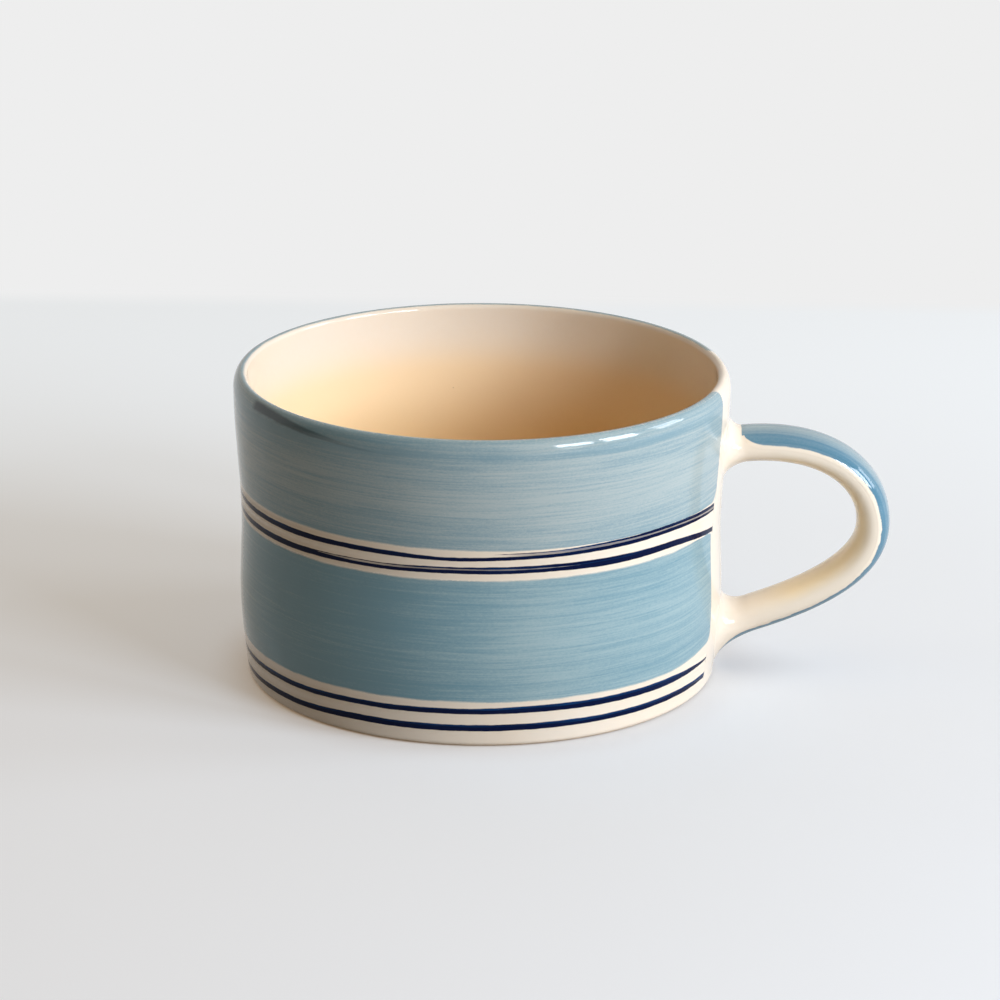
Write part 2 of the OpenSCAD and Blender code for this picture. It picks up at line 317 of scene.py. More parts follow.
def arc(centre: Span, radius: float, start: float, end: float, steps: int) -> np.ndarray:
    """Points of a round stretch of an outline, without the first one.

    Args:
        centre: the round's centre.
        radius: its radius.
        start: the angle that it starts from, in degrees.
        end: the angle that it ends at, in degrees.
        steps: how many points it has.

    Returns:
        The points, one row each.
    """
    turn = np.radians(np.linspace(start, end, steps + 1)[1:])
    return np.array(centre) + radius * np.column_stack((np.cos(turn), np.sin(turn)))


@dataclass(frozen=True)
class CupForm:
    """The thrown cup's sizes and the lines of its wall."""

    rim_r: float
    height: float
    waist_inset: float = 0.0016
    belly_inset: float = 0.00115
    foot_inset: float = 0.0028
    wall_t: float = 0.0044
    lip_t: float = 0.0032
    lip_lean_w: float = 0.0020
    lip_lean_h: float = 0.0036
    floor_t: float = 0.0055
    floor_dish: float = 0.0006
    hollow_r: float = 0.009
    foot_edge_r: float = 0.0014
    foot_ring_w: float = 0.007
    foot_recess: float = 0.0012
    belly_share: float = 0.30
    waist_share: float = 0.51
    soft_share: float = 0.25
    wall_steps: int = 96
    lip_steps: int = 24
    lip_edge_steps: int = 12
    inside_steps: int = 52
    hollow_steps: int = 18
    floor_steps: int = 14
    recess_steps: int = 12
    soft_steps: int = 4
    ring_steps: int = 6
    foot_edge_steps: int = 10

    @classmethod
    def from_frame(cls) -> "CupForm":
        """The cup at the size of its CAD solid."""
        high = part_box("mug_body")[1]
        return cls(rim_r=high.y, height=high.z)

    @property
    def rim_z(self) -> float:
        """Height of the wall's outermost line, where the lip starts to lean in."""
        return self.height - self.lip_lean_h

    @property
    def lip_edge_r(self) -> float:
        """Radius of the lip's inner edge."""
        return self.lip_t - self.lip_lean_w

    @property
    def waist_r(self) -> float:
        """Outside radius at the waist."""
        return self.rim_r - self.waist_inset

    def wall_r(self, z: Any) -> np.ndarray:
        """Outside radius of the wall at a height: foot to belly, in to the waist, out to the rim."""
        z = np.asarray(z, float)
        belly_z = self.belly_share * self.height
        waist_z = self.waist_share * self.height
        belly_r = self.rim_r - self.belly_inset
        low = between(self.rim_r - self.foot_inset, belly_r, np.sin(np.pi / 2 * z / belly_z))
        middle = between(belly_r, self.waist_r, eased((z - belly_z) / (waist_z - belly_z)))
        high = between(self.waist_r, self.rim_r, eased((z - waist_z) / (self.rim_z - waist_z)))
        return np.where(z < belly_z, low, np.where(z < waist_z, middle, high))

    def outside(self) -> np.ndarray:
        """The outer wall from the foot's edge to the lip."""
        z = np.linspace(self.foot_edge_r, self.rim_z, self.wall_steps + 1)[1:]
        return np.column_stack((self.wall_r(z), z))

    def lip(self) -> np.ndarray:
        """The lip: its outer face leans in to the crest, and its inner edge is a tighter round."""
        crest_r = self.rim_r - self.lip_lean_w
        turn = np.radians(np.linspace(0.0, 90.0, self.lip_steps + 1)[1:])
        lean = np.column_stack((crest_r + self.lip_lean_w * np.cos(turn),
                                self.rim_z + self.lip_lean_h * np.sin(turn)))
        edge = arc((crest_r, self.height - self.lip_edge_r), self.lip_edge_r, 90.0, 180.0,
                   self.lip_edge_steps)
        return np.vstack((lean, edge))

    def inside(self) -> np.ndarray:
        """The inner wall down from the lip, the hollow and the dished floor to the axis."""
        hollow_z = self.floor_t + self.hollow_r
        z = np.linspace(self.height - self.lip_edge_r, hollow_z, self.inside_steps + 1)[1:]
        below = np.minimum(z, self.rim_z)
        thick = between(self.wall_t, self.lip_t, eased((below - hollow_z) / (self.rim_z - hollow_z)))
        wall = np.column_stack((self.wall_r(below) - thick, z))
        middle = (wall[-1, 0] - self.hollow_r, hollow_z)
        hollow = arc(middle, self.hollow_r, 0.0, -90.0, self.hollow_steps)
        share = np.linspace(0.0, 1.0, self.floor_steps + 1)[1:]
        dish = self.floor_t - self.floor_dish * eased(share)
        floor = np.column_stack((hollow[-1, 0] * (1.0 - share), dish))
        return np.vstack((wall, hollow, floor))

    def underside(self) -> np.ndarray:
        """The turned recess and the flat ring under the cup, out to the foot's edge."""
        flat_r = float(self.wall_r(self.foot_edge_r)) - self.foot_edge_r
        ring_r = flat_r - self.foot_ring_w
        soft = self.foot_recess * self.soft_share
        recess = np.linspace(0.0, ring_r - self.foot_recess, self.recess_steps)
        recess = np.column_stack((recess, np.full_like(recess, self.foot_recess)))
        ease_in = arc((recess[-1, 0], self.foot_recess - soft), soft, 90.0, 45.0, self.soft_steps)
        ease_out = arc((ring_r + soft, soft), soft, 225.0, 270.0, self.soft_steps)
        ring = np.linspace(ring_r + soft, flat_r, self.ring_steps + 1)[1:]
        ring = np.column_stack((ring, np.zeros_like(ring)))
        edge = arc((flat_r, self.foot_edge_r), self.foot_edge_r, -90.0, 0.0, self.foot_edge_steps)
        return np.vstack((recess, ease_in, ease_out, ring, edge))

    def profile(self) -> np.ndarray:
        """The whole outline, from the axis under the foot to the axis inside."""
        return np.vstack((self.underside(), self.outside(), self.lip(), self.inside()))

    def wall_line(self) -> np.ndarray:
        """The outer wall from the foot's edge up and over the lip."""
        start = [[float(self.wall_r(self.foot_edge_r)), self.foot_edge_r]]
        return np.vstack((start, self.outside(), self.lip()))

    def length_to(self, z: float) -> float:
        """Distance along the outer wall and the lip's outer face, from the foot's edge up to a height."""
        line = self.wall_line()
        line = line[:line[:, 1].argmax() + 1]
        return float(np.interp(z, line[:, 1], run_length(line)))


def through(turn: Signal, values: Sequence[Term]) -> Term:
    """A value that eases from one of the TURNS to the next.

    Args:
        turn: the angle about the cup's axis, from 0 to a whole turn.
        values: the value at each of the TURNS.

    Returns:
        The value at the angle.
    """
    total = values[0]
    for number, value in enumerate(values[1:]):
        low, high = (math.radians(place) for place in TURNS[number:number + 2])
        total = turn.rise(low, high) * (value - values[number]) + total
    return total


def guide_mesh(name: str, outline: np.ndarray) -> Mesh:
    """A chain of edges in the plane of X and Z, which a shape tree starts from."""
    mesh = bpy.data.meshes.new(name)
    points = [(x, 0.0, z) for x, z in outline]
    mesh.from_pydata(points, [(i, i + 1) for i in range(len(points) - 1)], [])
    return mesh


@dataclass(frozen=True)
class ClayGlaze:
    """Cream clay under a clear gloss glaze, which is wiped off the ring that the mug stands on."""

    cream: Colour = (0.81, 0.730, 0.625)
    warm: Colour = (0.80, 0.685, 0.545)
    bare: Colour = (0.66, 0.53, 0.40)
    # The inside colour is a warmer copy of the cream, painted warm shade in the cup; the pooled colour
    # deepens it down the inner wall, partly pooled glaze and partly painted shade.
    inside: Colour = (0.89, 0.675, 0.430)
    pooled_and_shaded: Colour = (0.93, 0.635, 0.250)
    speck: Colour = (0.26, 0.17, 0.10)
    gloss: float = 0.05
    bare_roughness: float = 0.75
    cloud_size: float = 0.030
    mottle_size: float = 0.0011
    speck_spacing: float = 0.010
    speck_r: float = 0.00017
    speck_share: float = 0.34
    speck_soft_share: float = 0.5
    speck_growth: float = 0.8
    speck_step: float = 0.01
    speck_depth: float = 0.7
    warm_share: float = 0.35
    cloud_depth: float = 1.1
    mottle_depth: float = 0.35
    mottle_roughness: float = 0.02
    wiped_z: float = 0.0006
    hollow_share: float = 0.85
    hollow_z: Span = (0.002, 0.005)
    pool_r: float = 0.0555
    pool_soft: float = 0.0010
    floor_z: Span = (0.0075, 0.024)
    pool_and_shade_z: Span = (0.012, 0.072)
    ripple_size: float = 0.006
    glaze_ripple: float = 0.000012
    ior: float = 1.5

    def ground(self, wires: Wires) -> tuple[Signal, Signal, Signal]:
        """The clay's own colour, roughness and height, which painted pieces fade into.

        Args:
            wires: the material's tree.

        Returns:
            The colour, the roughness and the height for a Bump node.
        """
        place = wires.place()
        cloud = wires.grained(place, (self.cloud_size,) * 3)
        mottle = wires.grained(place, (self.mottle_size,) * 3)
        tone = (self.warm_share + cloud * self.cloud_depth + mottle * self.mottle_depth).rise(0.0, 1.0)
        colour = wires.blend(tone, self.cream, self.warm)
        # Inside the cup: painted warm shade, a warmer copy of the cream that turns deeper amber down the
        # inner wall, partly as pooled glaze.
        inside, depth = self._hollow(wires, place)
        pool_and_shade = wires.blend(depth, self.inside, self.pooled_and_shaded)
        colour = wires.blend(inside * self.hollow_share, colour, pool_and_shade)
        colour = wires.blend(self._specks(wires, place), colour, self.speck)
        wiped = 1.0 - wires.parts(place)[2].rise(self.wiped_z / 2, self.wiped_z)
        colour = wires.blend(wiped, colour, self.bare)
        rough = self.gloss + mottle * self.mottle_roughness + wiped * (self.bare_roughness - self.gloss)
        return colour, rough, wires.grained(place, (self.ripple_size,) * 3)

    def _hollow(self, wires: Wires, place: Signal) -> tuple[Signal, Signal]:
        """1 inside the cup, and a share that grows from the floor up the inner wall and fades towards the
        lip, for colour that is partly pooled glaze and partly painted warm shade.
        """
        x, y, z = wires.parts(place)
        radius = wires.maths("SQRT", x * x + y * y)
        inside = (1.0 - radius.rise(self.pool_r - self.pool_soft, self.pool_r)) * z.rise(*self.hollow_z)
        return inside, (1.0 - z.rise(*self.pool_and_shade_z)) * z.rise(*self.floor_z)

    def _specks(self, wires: Wires, place: Signal) -> Signal:
        """Where the clay's few dark iron specks show through the glaze."""
        spread = wires.along("DIVIDE", place, (self.speck_spacing,) * 3)
        cells = wires.node("ShaderNodeTexVoronoi", None, {"Vector": spread, "Scale": 1.0})
        chance = wires.parts(wires.out(cells, "Color"))
        size = self.speck_r / self.speck_spacing
        near = 1.0 - wires.out(cells, "Distance").rise(
            size * self.speck_soft_share, size * (1.0 + chance[1] * self.speck_growth))
        rare = 1.0 - chance[0].rise(self.speck_share, self.speck_share + self.speck_step)
        return near * rare * self.speck_depth

    def dress(self, wires: Wires, colour: Signal, rough: Signal, height: Signal, depth: float,
              gleam: float = 0.40) -> None:
        """Ends a material in the glaze's shader.

        Args:
            wires: the material's tree.
            colour: what shows under the glaze.
            rough: how rough the surface is.
            height: the relief, from about -0.5 to 0.5.
            depth: the relief's depth.
            gleam: how strongly the glaze mirrors.
        """
        bump = wires.node("ShaderNodeBump", None, {"Strength": 1.0, "Distance": depth, "Height": height})
        shader = wires.node("ShaderNodeBsdfPrincipled", None, {
            "Base Color": colour, "Roughness": rough, "Normal": wires.out(bump),
            "IOR": self.ior, "Specular IOR Level": gleam})
        wires.node("ShaderNodeOutputMaterial", None, {"Surface": wires.out(shader)})

    def material(self, name: str = "cream_glaze") -> Material:
        """The finish of unpainted clay."""
        wires = new_finish(name)
        self.dress(wires, *self.ground(wires), self.glaze_ripple)
        return bpy.data.materials[name]


@dataclass(frozen=True)
class BowGlaze(ClayGlaze):
    """The same glaze on the handle, painted paler along the strap as painted light, with painted warm shade
    on the strap's face inside the bow.
    """

    # A paler copy of the cream along the strap is painted light; the warm colour is painted shade on the
    # face inside the bow.
    inside: Colour = (0.875, 0.785, 0.655)
    pooled_and_shaded: Colour = (0.94, 0.755, 0.475)
    facing: Span = (0.05, 0.85)

    def _hollow(self, wires: Wires, place: Signal) -> tuple[Signal, Signal]:
        """1 along the strap, where it is painted paler, and how far it faces the fingers, where warm shade
        is painted.
        """
        return stored(wires, "strap"), stored(wires, "bow").rise(*self.facing)


def new_finish(name: str) -> Wires:
    """An empty material, as the tree that its nodes go into."""
    made = bpy.data.materials.new(name)
    made.use_nodes = True
    made.node_tree.nodes.clear()
    return Wires(made.node_tree)


def stored(wires: Wires, name: str) -> Signal:
    """A value that a painted piece holds at each point."""
    return wires.out(wires.node("ShaderNodeAttribute", {"attribute_name": name}), "Fac")


@dataclass(frozen=True)
class BrushedSlip:
    """Blue slip laid on with a broad brush as the cup turned: streaked, soft at its edges, glazed over."""

    name: str
    clay: ClayGlaze
    width: float
    thick: Colour
    thin: Colour
    seed: float
    pale_at_share: float
    pale_depth: float
    dark_at_share: float
    pale_spread_share: float = 0.25
    dark_spread_share: float = 0.08
    dark_depth: float = 0.25
    edge_soft: float = 0.00035
    edge_ragged: float = 0.00030
    streak_lengths: tuple[float, ...] = (0.060, 0.055, 0.024, 0.012)
    streak_widths: tuple[float, ...] = (0.0034, 0.0012, 0.00055, 0.00028)
    streak_depths: tuple[float, ...] = (0.30, 0.75, 0.80, 0.95)
    streak_detail: float = 1.5
    grain_depth: float = 1.05
    grain_sizes: Sizes = (0.0007, 0.0007, 0.00028)
    grain_detail: float = 3.0
    grain_roughness: float = 0.7
    ragged_sizes: Sizes = (0.006, 0.006, 0.002)
    ragged_detail: float = 3.0
    mean_load: float = 0.5
    load_range: Span = (-0.15, 1.15)
    ridge: float = 0.000018
    loads_and_shade: tuple[float, ...] = (0.0,) * len(TURNS)
    painted_reflection_turns: Span | None = None
    painted_reflection_shares: Span = (0.0, 0.0)
    painted_reflection_spread_share: float = 0.06
    painted_reflection_colour: Colour = (0.030, 0.055, 0.064)
    painted_reflection_ragged: float = 0.03
    painted_reflection_core_share: float = 0.4
    painted_reflection_start: Span = (-0.02, 0.03)

    def _run(self, wires: Wires, place: Signal) -> tuple[Signal, Signal]:
        """The two coordinates that the brush ran along, round the cup."""
        x, y, _ = wires.parts(place)
        return x, y

    def _share(self, across: Signal) -> Signal:
        """How far across the band a point lies."""
        return across / self.width

    def _streaks(self, wires: Wires, place: Signal, across: Signal) -> Signal:
        """Brush streaks that follow the turn, broad ones and fine ones together."""
        x, y = self._run(wires, place)
        total: Term = 0.0
        for length, width, depth in zip(self.streak_lengths, self.streak_widths, self.streak_depths):
            spot = wires.vector(x / length + self.seed, y / length, across / width)
            total = wires.noise(spot, self.streak_detail) * depth + total
        return total

    def _hump(self, share: Signal, centre: float, spread: float) -> Signal:
        """1 at a height of the band, falling smoothly to 0 on both sides."""
        return 1.0 - abs(share - centre).rise(0.0, spread)

    def _painted_reflection(self, turn: Signal, share: Signal, ragged: Signal) -> Signal:
        """1 in a darker patch under the lip at the front-left, a painted dark reflection.

        Args:
            turn: the angle about the cup's axis.
            share: how far across the band a point lies.
            ragged: noise for its edge.

        Returns:
            0 outside it, 1 in its middle, tapering along the turn.
        """
        first, last = (math.radians(angle) for angle in self.painted_reflection_turns)
        run = turn.rise(first, last)
        off = abs(share - between(*self.painted_reflection_shares, run))
        half = (1.0 - run) * self.painted_reflection_spread_share + ragged * self.painted_reflection_ragged
        begun = turn.rise(*(first + step for step in self.painted_reflection_start))
        return (1.0 - off.rise(half * self.painted_reflection_core_share, half)) * begun * (1.0 - run)

    def material(self) -> Material:
        """The finish of a band."""
        wires = new_finish(self.name)
        clay_colour, clay_rough, ripple = self.clay.ground(wires)
        place = wires.place()
        across, edge = stored(wires, "across"), stored(wires, "edge")
        streaks = self._streaks(wires, place, across)
        share = self._share(across)
        grain = wires.grained(place, self.grain_sizes, self.grain_detail, self.grain_roughness)
        body = self.mean_load + streaks + grain * self.grain_depth
        # A darker hump across the band; on the upper band, at 0.81, it is a painted shade line just under
        # the lip.
        body = body + self._hump(share, self.dark_at_share, self.dark_spread_share) * self.dark_depth
        # A paler hump: thin slip on the bands; on the handle's stroke, at the crest, a painted grey sheen.
        body = body - self._hump(share, self.pale_at_share, self.pale_spread_share) * self.pale_depth
        turn = wires.turn(place)
        # At the TURNS the band is darker on the cup's dim left and lighter towards its lit right: more
        # slip, and painted shade.
        if any(self.loads_and_shade):
            body = body + through(turn, self.loads_and_shade)
        slip = wires.blend(body.rise(*self.load_range), self.thin, self.thick)
        ragged = wires.grained(place, self.ragged_sizes, self.ragged_detail)
        # A darker patch under the lip at the front-left: a painted dark reflection.
        if self.painted_reflection_turns:
            slip = wires.blend(self._painted_reflection(turn, share, ragged), slip, self.painted_reflection_colour)
        cover = (edge + ragged * self.edge_ragged * 2.0).rise(-self.edge_soft, self.edge_soft)
        colour = wires.blend(cover, clay_colour, slip)
        height = ripple + cover * streaks * (self.ridge / self.clay.glaze_ripple)
        self.clay.dress(wires, colour, clay_rough, height, self.clay.glaze_ripple)
        return bpy.data.materials[self.name]


@dataclass(frozen=True)
class StrapSlip(BrushedSlip):
    """Blue slip brushed along the handle in one pull."""

    def _run(self, wires: Wires, place: Signal) -> tuple[Signal, Signal]:
        """The two coordinates that the brush ran along, down the strap."""
        along = stored(wires, "along")
        return along, along * 0.0

    def _share(self, across: Signal) -> Signal:
        """How far a point lies from the strap's crest towards either edge."""
        return abs(across) / self.width


@dataclass(frozen=True)
class BrushPass:
    """One pass of a small brush round the cup: its rise and its half width at each of the TURNS."""

    rises: tuple[float, ...]
    halves: tuple[float, ...]

    def edge(self, turn: Signal, off: Signal) -> Signal:
        """Distance inside the pass's edge, at an angle and at a height off its line."""
        return through(turn, self.halves) - abs(off)


@dataclass(frozen=True)
class BrushLine:
    """A dark blue line drawn with a small brush as the cup turned, in one pass or in two."""

    name: str
    clay: ClayGlaze
    middle: float
    first: BrushPass
    second: BrushPass | None
    seed: float
    pale_high: float
    ink: Colour = (0.0003, 0.0045, 0.034)
    cobalt: Colour = (0.004, 0.048, 0.165)
    edge_soft: float = 0.00008
    edge_ragged: float = 0.00014
    veil: float = 0.75
    veil_soft: float = 0.0001
    veil_start: float = 0.0002
    veil_full_half: float = 0.00018
    veil_range: Span = (-0.4, 0.7)
    ragged_sizes: Span = (0.0035, 0.0012)
    slow_size: float = 0.030
    hair_sizes: Span = (0.014, 0.00022)
    high_range: Span = (-0.0001, 0.0007)
    mean_tone: float = 0.22
    hair_depth: float = 1.1
    slow_depth: float = 0.6
    tone_range: Span = (0.25, 0.95)
    gleam: float = 0.06

    def _laid(self, wires: Wires, turn: Signal, off: Signal, ragged: Signal, dry: Signal) -> Signal:
        """How fully the line covers the clay.

        Args:
            wires: the material's tree.
            turn: the angle about the cup's axis.
            off: height above the first pass's line.
            ragged: noise for the edge.
            dry: noise for the brush's hairs.

        Returns:
            0 for bare clay and 1 for full cover.
        """
        edge = self.first.edge(turn, off)
        veil: Term = 0.0
        if self.second:
            above = off - through(turn, self.second.rises)
            second = self.second.edge(turn, above)
            edge = edge.most(second)
            gap = off.rise(0.0, self.veil_start) * (1.0 - above.rise(-self.veil_soft, self.veil_soft))
            thick = through(turn, self.second.halves).rise(0.0, self.veil_full_half)
            veil = gap * thick * (0.5 + dry).rise(*self.veil_range) * self.veil
        edge = edge.least(stored(wires, "edge")) + ragged * self.edge_ragged * 2.0
        return edge.rise(-self.edge_soft, self.edge_soft).most(veil)

    def material(self) -> Material:
        """The finish of a line."""
        wires = new_finish(self.name)
        clay_colour, clay_rough, ripple = self.clay.ground(wires)
        place = wires.place()
        x, y, z = wires.parts(place)
        off = stored(wires, "across") - self.middle

        def spot(size: float, third: Term) -> Signal:
            """A place for noise, with features of a size round the cup."""
            return wires.vector(x / size + self.seed, y / size, third)

        ragged = wires.noise(spot(self.ragged_sizes[0], z / self.ragged_sizes[1]), 3.0, 0.6)
        slow = wires.noise(spot(self.slow_size, self.seed), 1.0)
        dry = wires.noise(spot(self.hair_sizes[0], off / self.hair_sizes[1]), 2.0)
        high = off.rise(*self.high_range) * self.pale_high
        tone = self.mean_tone + dry * self.hair_depth + slow * self.slow_depth + high
        tone = tone.rise(*self.tone_range)
        cover = self._laid(wires, wires.turn(place), off, ragged, dry)
        colour = wires.blend(cover, clay_colour, wires.blend(tone, self.ink, self.cobalt))
        self.clay.dress(wires, colour, clay_rough, ripple, self.clay.glaze_ripple, self.gleam)
        return bpy.data.materials[self.name]


@dataclass
class ThrownCup:
    """The cup: its outline turned on the wheel, with the faint unevenness of a thrown wall."""

    form: CupForm
    glaze: ClayGlaze
    segments: int = 288
    out_of_round: float = 0.00008
    ridge_depth: float = 0.00005
    ridge_pitch: float = 0.0060
    ridge_turn_share: float = 0.4
    sway_pitch: float = 0.05
    even_r: Span = (0.02, 0.04)
    even_z: Span = (0.002, 0.008)
    merge: float = 1e-6
    seed: float = 3.0

    def _tree(self) -> ShapeTree:
        """Geometry Nodes that turn the guide's outline about +Z."""
        tree = ShapeTree("turned_outline", {
            "Segments": Input.COUNT, "Rows": Input.COUNT, "Out of Round": Input.NUMBER,
            "Ridge Depth": Input.NUMBER, "Ridge Pitch": Input.NUMBER, "Seed": Input.NUMBER,
            "Material": Input.FINISH})
        columns = tree.given("Segments") + 1
        grid = tree.node("GeometryNodeMeshGrid", None,
                         {"Vertices X": tree.given("Rows"), "Vertices Y": columns})
        index = tree.flow("GeometryNodeInputIndex")
        row = tree.maths("FLOOR", (index + 0.5) / columns)
        turn = (index - row * columns) / tree.given("Segments") * math.tau
        outline = tree.node("GeometryNodeSampleIndex", {"data_type": "FLOAT_VECTOR"}, {
            "Geometry": tree.given("Geometry"), "Index": row,
            "Value": tree.flow("GeometryNodeInputPosition")})
        radius, _, z = tree.parts(tree.out(outline))
        cos, sin = tree.maths("COSINE", turn), tree.maths("SINE", turn)
        seed = tree.given("Seed")
        share = self.ridge_turn_share
        pitch = tree.given("Ridge Pitch")
        ridge = tree.noise(tree.vector(cos * share + seed, sin * share, z / pitch), 0.0)
        sway = tree.noise(tree.vector(cos + seed, sin, z / self.sway_pitch), 0.0)
        uneven = ridge * tree.given("Ridge Depth") * 2.0 + sway * tree.given("Out of Round") * 2.0
        radius = radius + uneven * radius.rise(*self.even_r) * z.rise(*self.even_z)
        placed = tree.node("GeometryNodeSetPosition", None, {
            "Geometry": tree.out(grid, "Mesh"), "Position": tree.vector(radius * cos, radius * sin, z)})
        turned = tree.node("GeometryNodeFlipFaces", None, {"Mesh": tree.out(placed)})
        tree.close(tree.out(turned), self.merge)
        return tree

    def build(self) -> Object:
        """Makes the cup.

        Returns:
            The cup as a closed mesh.
        """
        outline = self.form.profile()
        cup = self._tree().run("mug_body_thrown", guide_mesh("cup_outline", outline), {
            "Segments": self.segments, "Rows": len(outline), "Out of Round": self.out_of_round,
            "Ridge Depth": self.ridge_depth, "Ridge Pitch": self.ridge_pitch, "Seed": self.seed,
            "Material": self.glaze.material()})
        hand_over(cup, Slot.CREAM, "mug_body")
        return cup


@dataclass(frozen=True)
class Stroke:
    """One turn of the brush on the wall: where it runs, how far it strays and what it leaves bare.

    Its low and high edges are lengths along the wall, and bare is the angle beside the handle, in radians.
    """

    node: str
    low: float
    high: float
    bare: float
    corner_r: float
    rows: int
    wander: float
    seed: float
    sway: tuple[float, ...]
    hold: float
    margin: float
    border: float


@dataclass
class PaintedTurns:
    """The bands and lines of slip: thin layers that follow the cup's surface and sink in at their rims."""

    form: CupForm
    cup: Object
    columns: int = 361
    lift: float = 0.000014
    sink: float = 0.000008
    depth: float = 0.00015
    search: float = 0.0008
    stray_share: float = 0.9
    merge: float = 1e-7

    def tree(self) -> ShapeTree:
        """Geometry Nodes that lay a closed layer of slip on the turned wall."""
        numbers = ("From Length", "To Length", "From Angle", "To Angle", "Radius", "Margin", "Border",
                   "Lift", "Sink", "Depth", "Search", "Corner Radius", "Wander", "Seed", "Hold", *SWAYS)
        tree = ShapeTree("brushed_turn", {
            **dict.fromkeys(numbers, Input.NUMBER), "Columns": Input.COUNT, "Rows": Input.COUNT,
            "Cup": Input.THING, "Material": Input.FINISH})
        value = {name: tree.given(name) for name in numbers}
        grid = tree.node("GeometryNodeMeshGrid", None,
                         {"Vertices X": tree.given("Columns"), "Vertices Y": tree.given("Rows")})
        u, v, _ = tree.parts(tree.flow("GeometryNodeInputPosition"))
        u, v = u + 0.5, v + 0.5
        width = value["To Length"] - value["From Length"]
        across = v * v * (3.0 - 2.0 * v) * (width + 2.0 * value["Margin"]) - value["Margin"]
        spread = value["Margin"] / value["Radius"]
        sweep = value["To Angle"] - value["From Angle"] + 2.0 * spread
        turn = value["From Angle"] - spread + u * sweep
        point, out_way = self._on_wall(tree, value, across, turn)
        rim = (across + value["Margin"]).least(width + value["Margin"] - across)
        rim = rim.least(u.least(1.0 - u) * sweep * value["Radius"])
        inner = rim.rise(0.0, value["Border"])
        mesh = tree.out(grid, "Mesh")
        edge = self._edge(tree, value, across, turn)
        for name, field in {"across": across, "edge": edge}.items():
            mesh = tree.out(tree.node("GeometryNodeStoreNamedAttribute", None,
                                      {"Geometry": mesh, "Name": name, "Value": field}))
        face = inner * (value["Lift"] + value["Sink"]) - value["Sink"]
        back = inner * (value["Sink"] - value["Depth"]) - value["Sink"]
        sheets = [self._sheet(tree, mesh, point, out_way, lift) for lift in (face, back)]
        sheets[1] = tree.flow("GeometryNodeFlipFaces", {"Mesh": sheets[1]})
        joined = tree.node("GeometryNodeJoinGeometry")
        for sheet in reversed(sheets):
            tree.tree.links.new(sheet.socket, joined.inputs[0])
        tree.close(tree.out(joined), self.merge)
        return tree

    @staticmethod
    def _edge(tree: ShapeTree, value: dict[str, Signal], across: Signal, turn: Signal) -> Signal:
        """Distance inside a stroke's outline, which is a rectangle with round corners.

        Args:
            tree: the shape tree.
            value: the tree's inputs.
            across: distance from the stroke's low edge.
            turn: angle about the cup's axis.

        Returns:
            The distance, below 0 outside the outline.
        """
        half = (value["To Length"] - value["From Length"]) / 2.0
        half_sweep = (value["To Angle"] - value["From Angle"]) / 2.0
        middle = (value["From Angle"] + value["To Angle"]) / 2.0
        corner = value["Corner Radius"]
        p = abs(across - half) - half + corner
        q = (abs(turn - middle) - half_sweep) * value["Radius"] + corner
        p_past, q_past = p.most(0.0), q.most(0.0)
        beyond = tree.maths("SQRT", p_past * p_past + q_past * q_past)
        return corner - beyond - p.most(q).least(0.0)

    @staticmethod
    def _sheet(tree: ShapeTree, mesh: Signal, point: Signal, out_way: Signal, lift: Signal) -> Signal:
        """One face of the layer, lifted off the cup's surface."""
        moved = tree.along("ADD", point, tree.along("MULTIPLY", out_way, tree.vector(lift, lift, lift)))
        return tree.flow("GeometryNodeSetPosition", {"Geometry": mesh, "Position": moved})

    def _on_wall(self, tree: ShapeTree, value: dict[str, Signal], across: Signal,
                 turn: Signal) -> tuple[Signal, Signal]:
        """A point on the cup's surface and the direction out of it.

        Args:
            tree: the shape tree.
            value: the tree's inputs.
            across: distance from the stroke's low edge.
            turn: angle about the cup's axis.

        Returns:
            The point and the outward direction.
        """
        cos, sin = tree.maths("COSINE", turn), tree.maths("SINE", turn)
        seed, share = value["Seed"], self.stray_share
        stray = tree.noise(tree.vector(cos * share + seed, sin * share, seed), 1.0)
        held = value["Hold"] * across / (value["To Length"] - value["From Length"])
        sway = through(turn, [value[name] for name in SWAYS]) * (1.0 - held)
        length = value["From Length"] + across + sway + stray * value["Wander"] * 2.0
        curve = tree.flow("GeometryNodeMeshToCurve", {"Mesh": tree.given("Geometry")})
        sample = tree.node("GeometryNodeSampleCurve", {"mode": "LENGTH"},
                           {"Curves": curve, "Length": length})
        radius, _, z = tree.parts(tree.out(sample, "Position"))
        run_r, _, run_z = tree.parts(tree.out(sample, "Tangent"))
        planned = tree.vector(radius * cos, radius * sin, z)
        out_way = tree.vector(run_z * cos, run_z * sin, -run_r)
        reach = tree.vector(*(value["Search"],) * 3)
        cup = tree.node("GeometryNodeObjectInfo", None, {"Object": tree.given("Cup")})
        ray = tree.node("GeometryNodeRaycast", None, {
            "Target Geometry": tree.out(cup, "Geometry"), "Ray Length": value["Search"] * 2.0,
            "Source Position": tree.along("ADD", planned, tree.along("MULTIPLY", out_way, reach)),
            "Ray Direction": tree.along("MULTIPLY", out_way, (-1.0, -1.0, -1.0))})
        found = tree.node("GeometryNodeSwitch", {"input_type": "VECTOR"}, {
            "Switch": tree.out(ray, "Is Hit"), "False": planned, "True": tree.out(ray, "Hit Position")})
        return tree.out(found), out_way

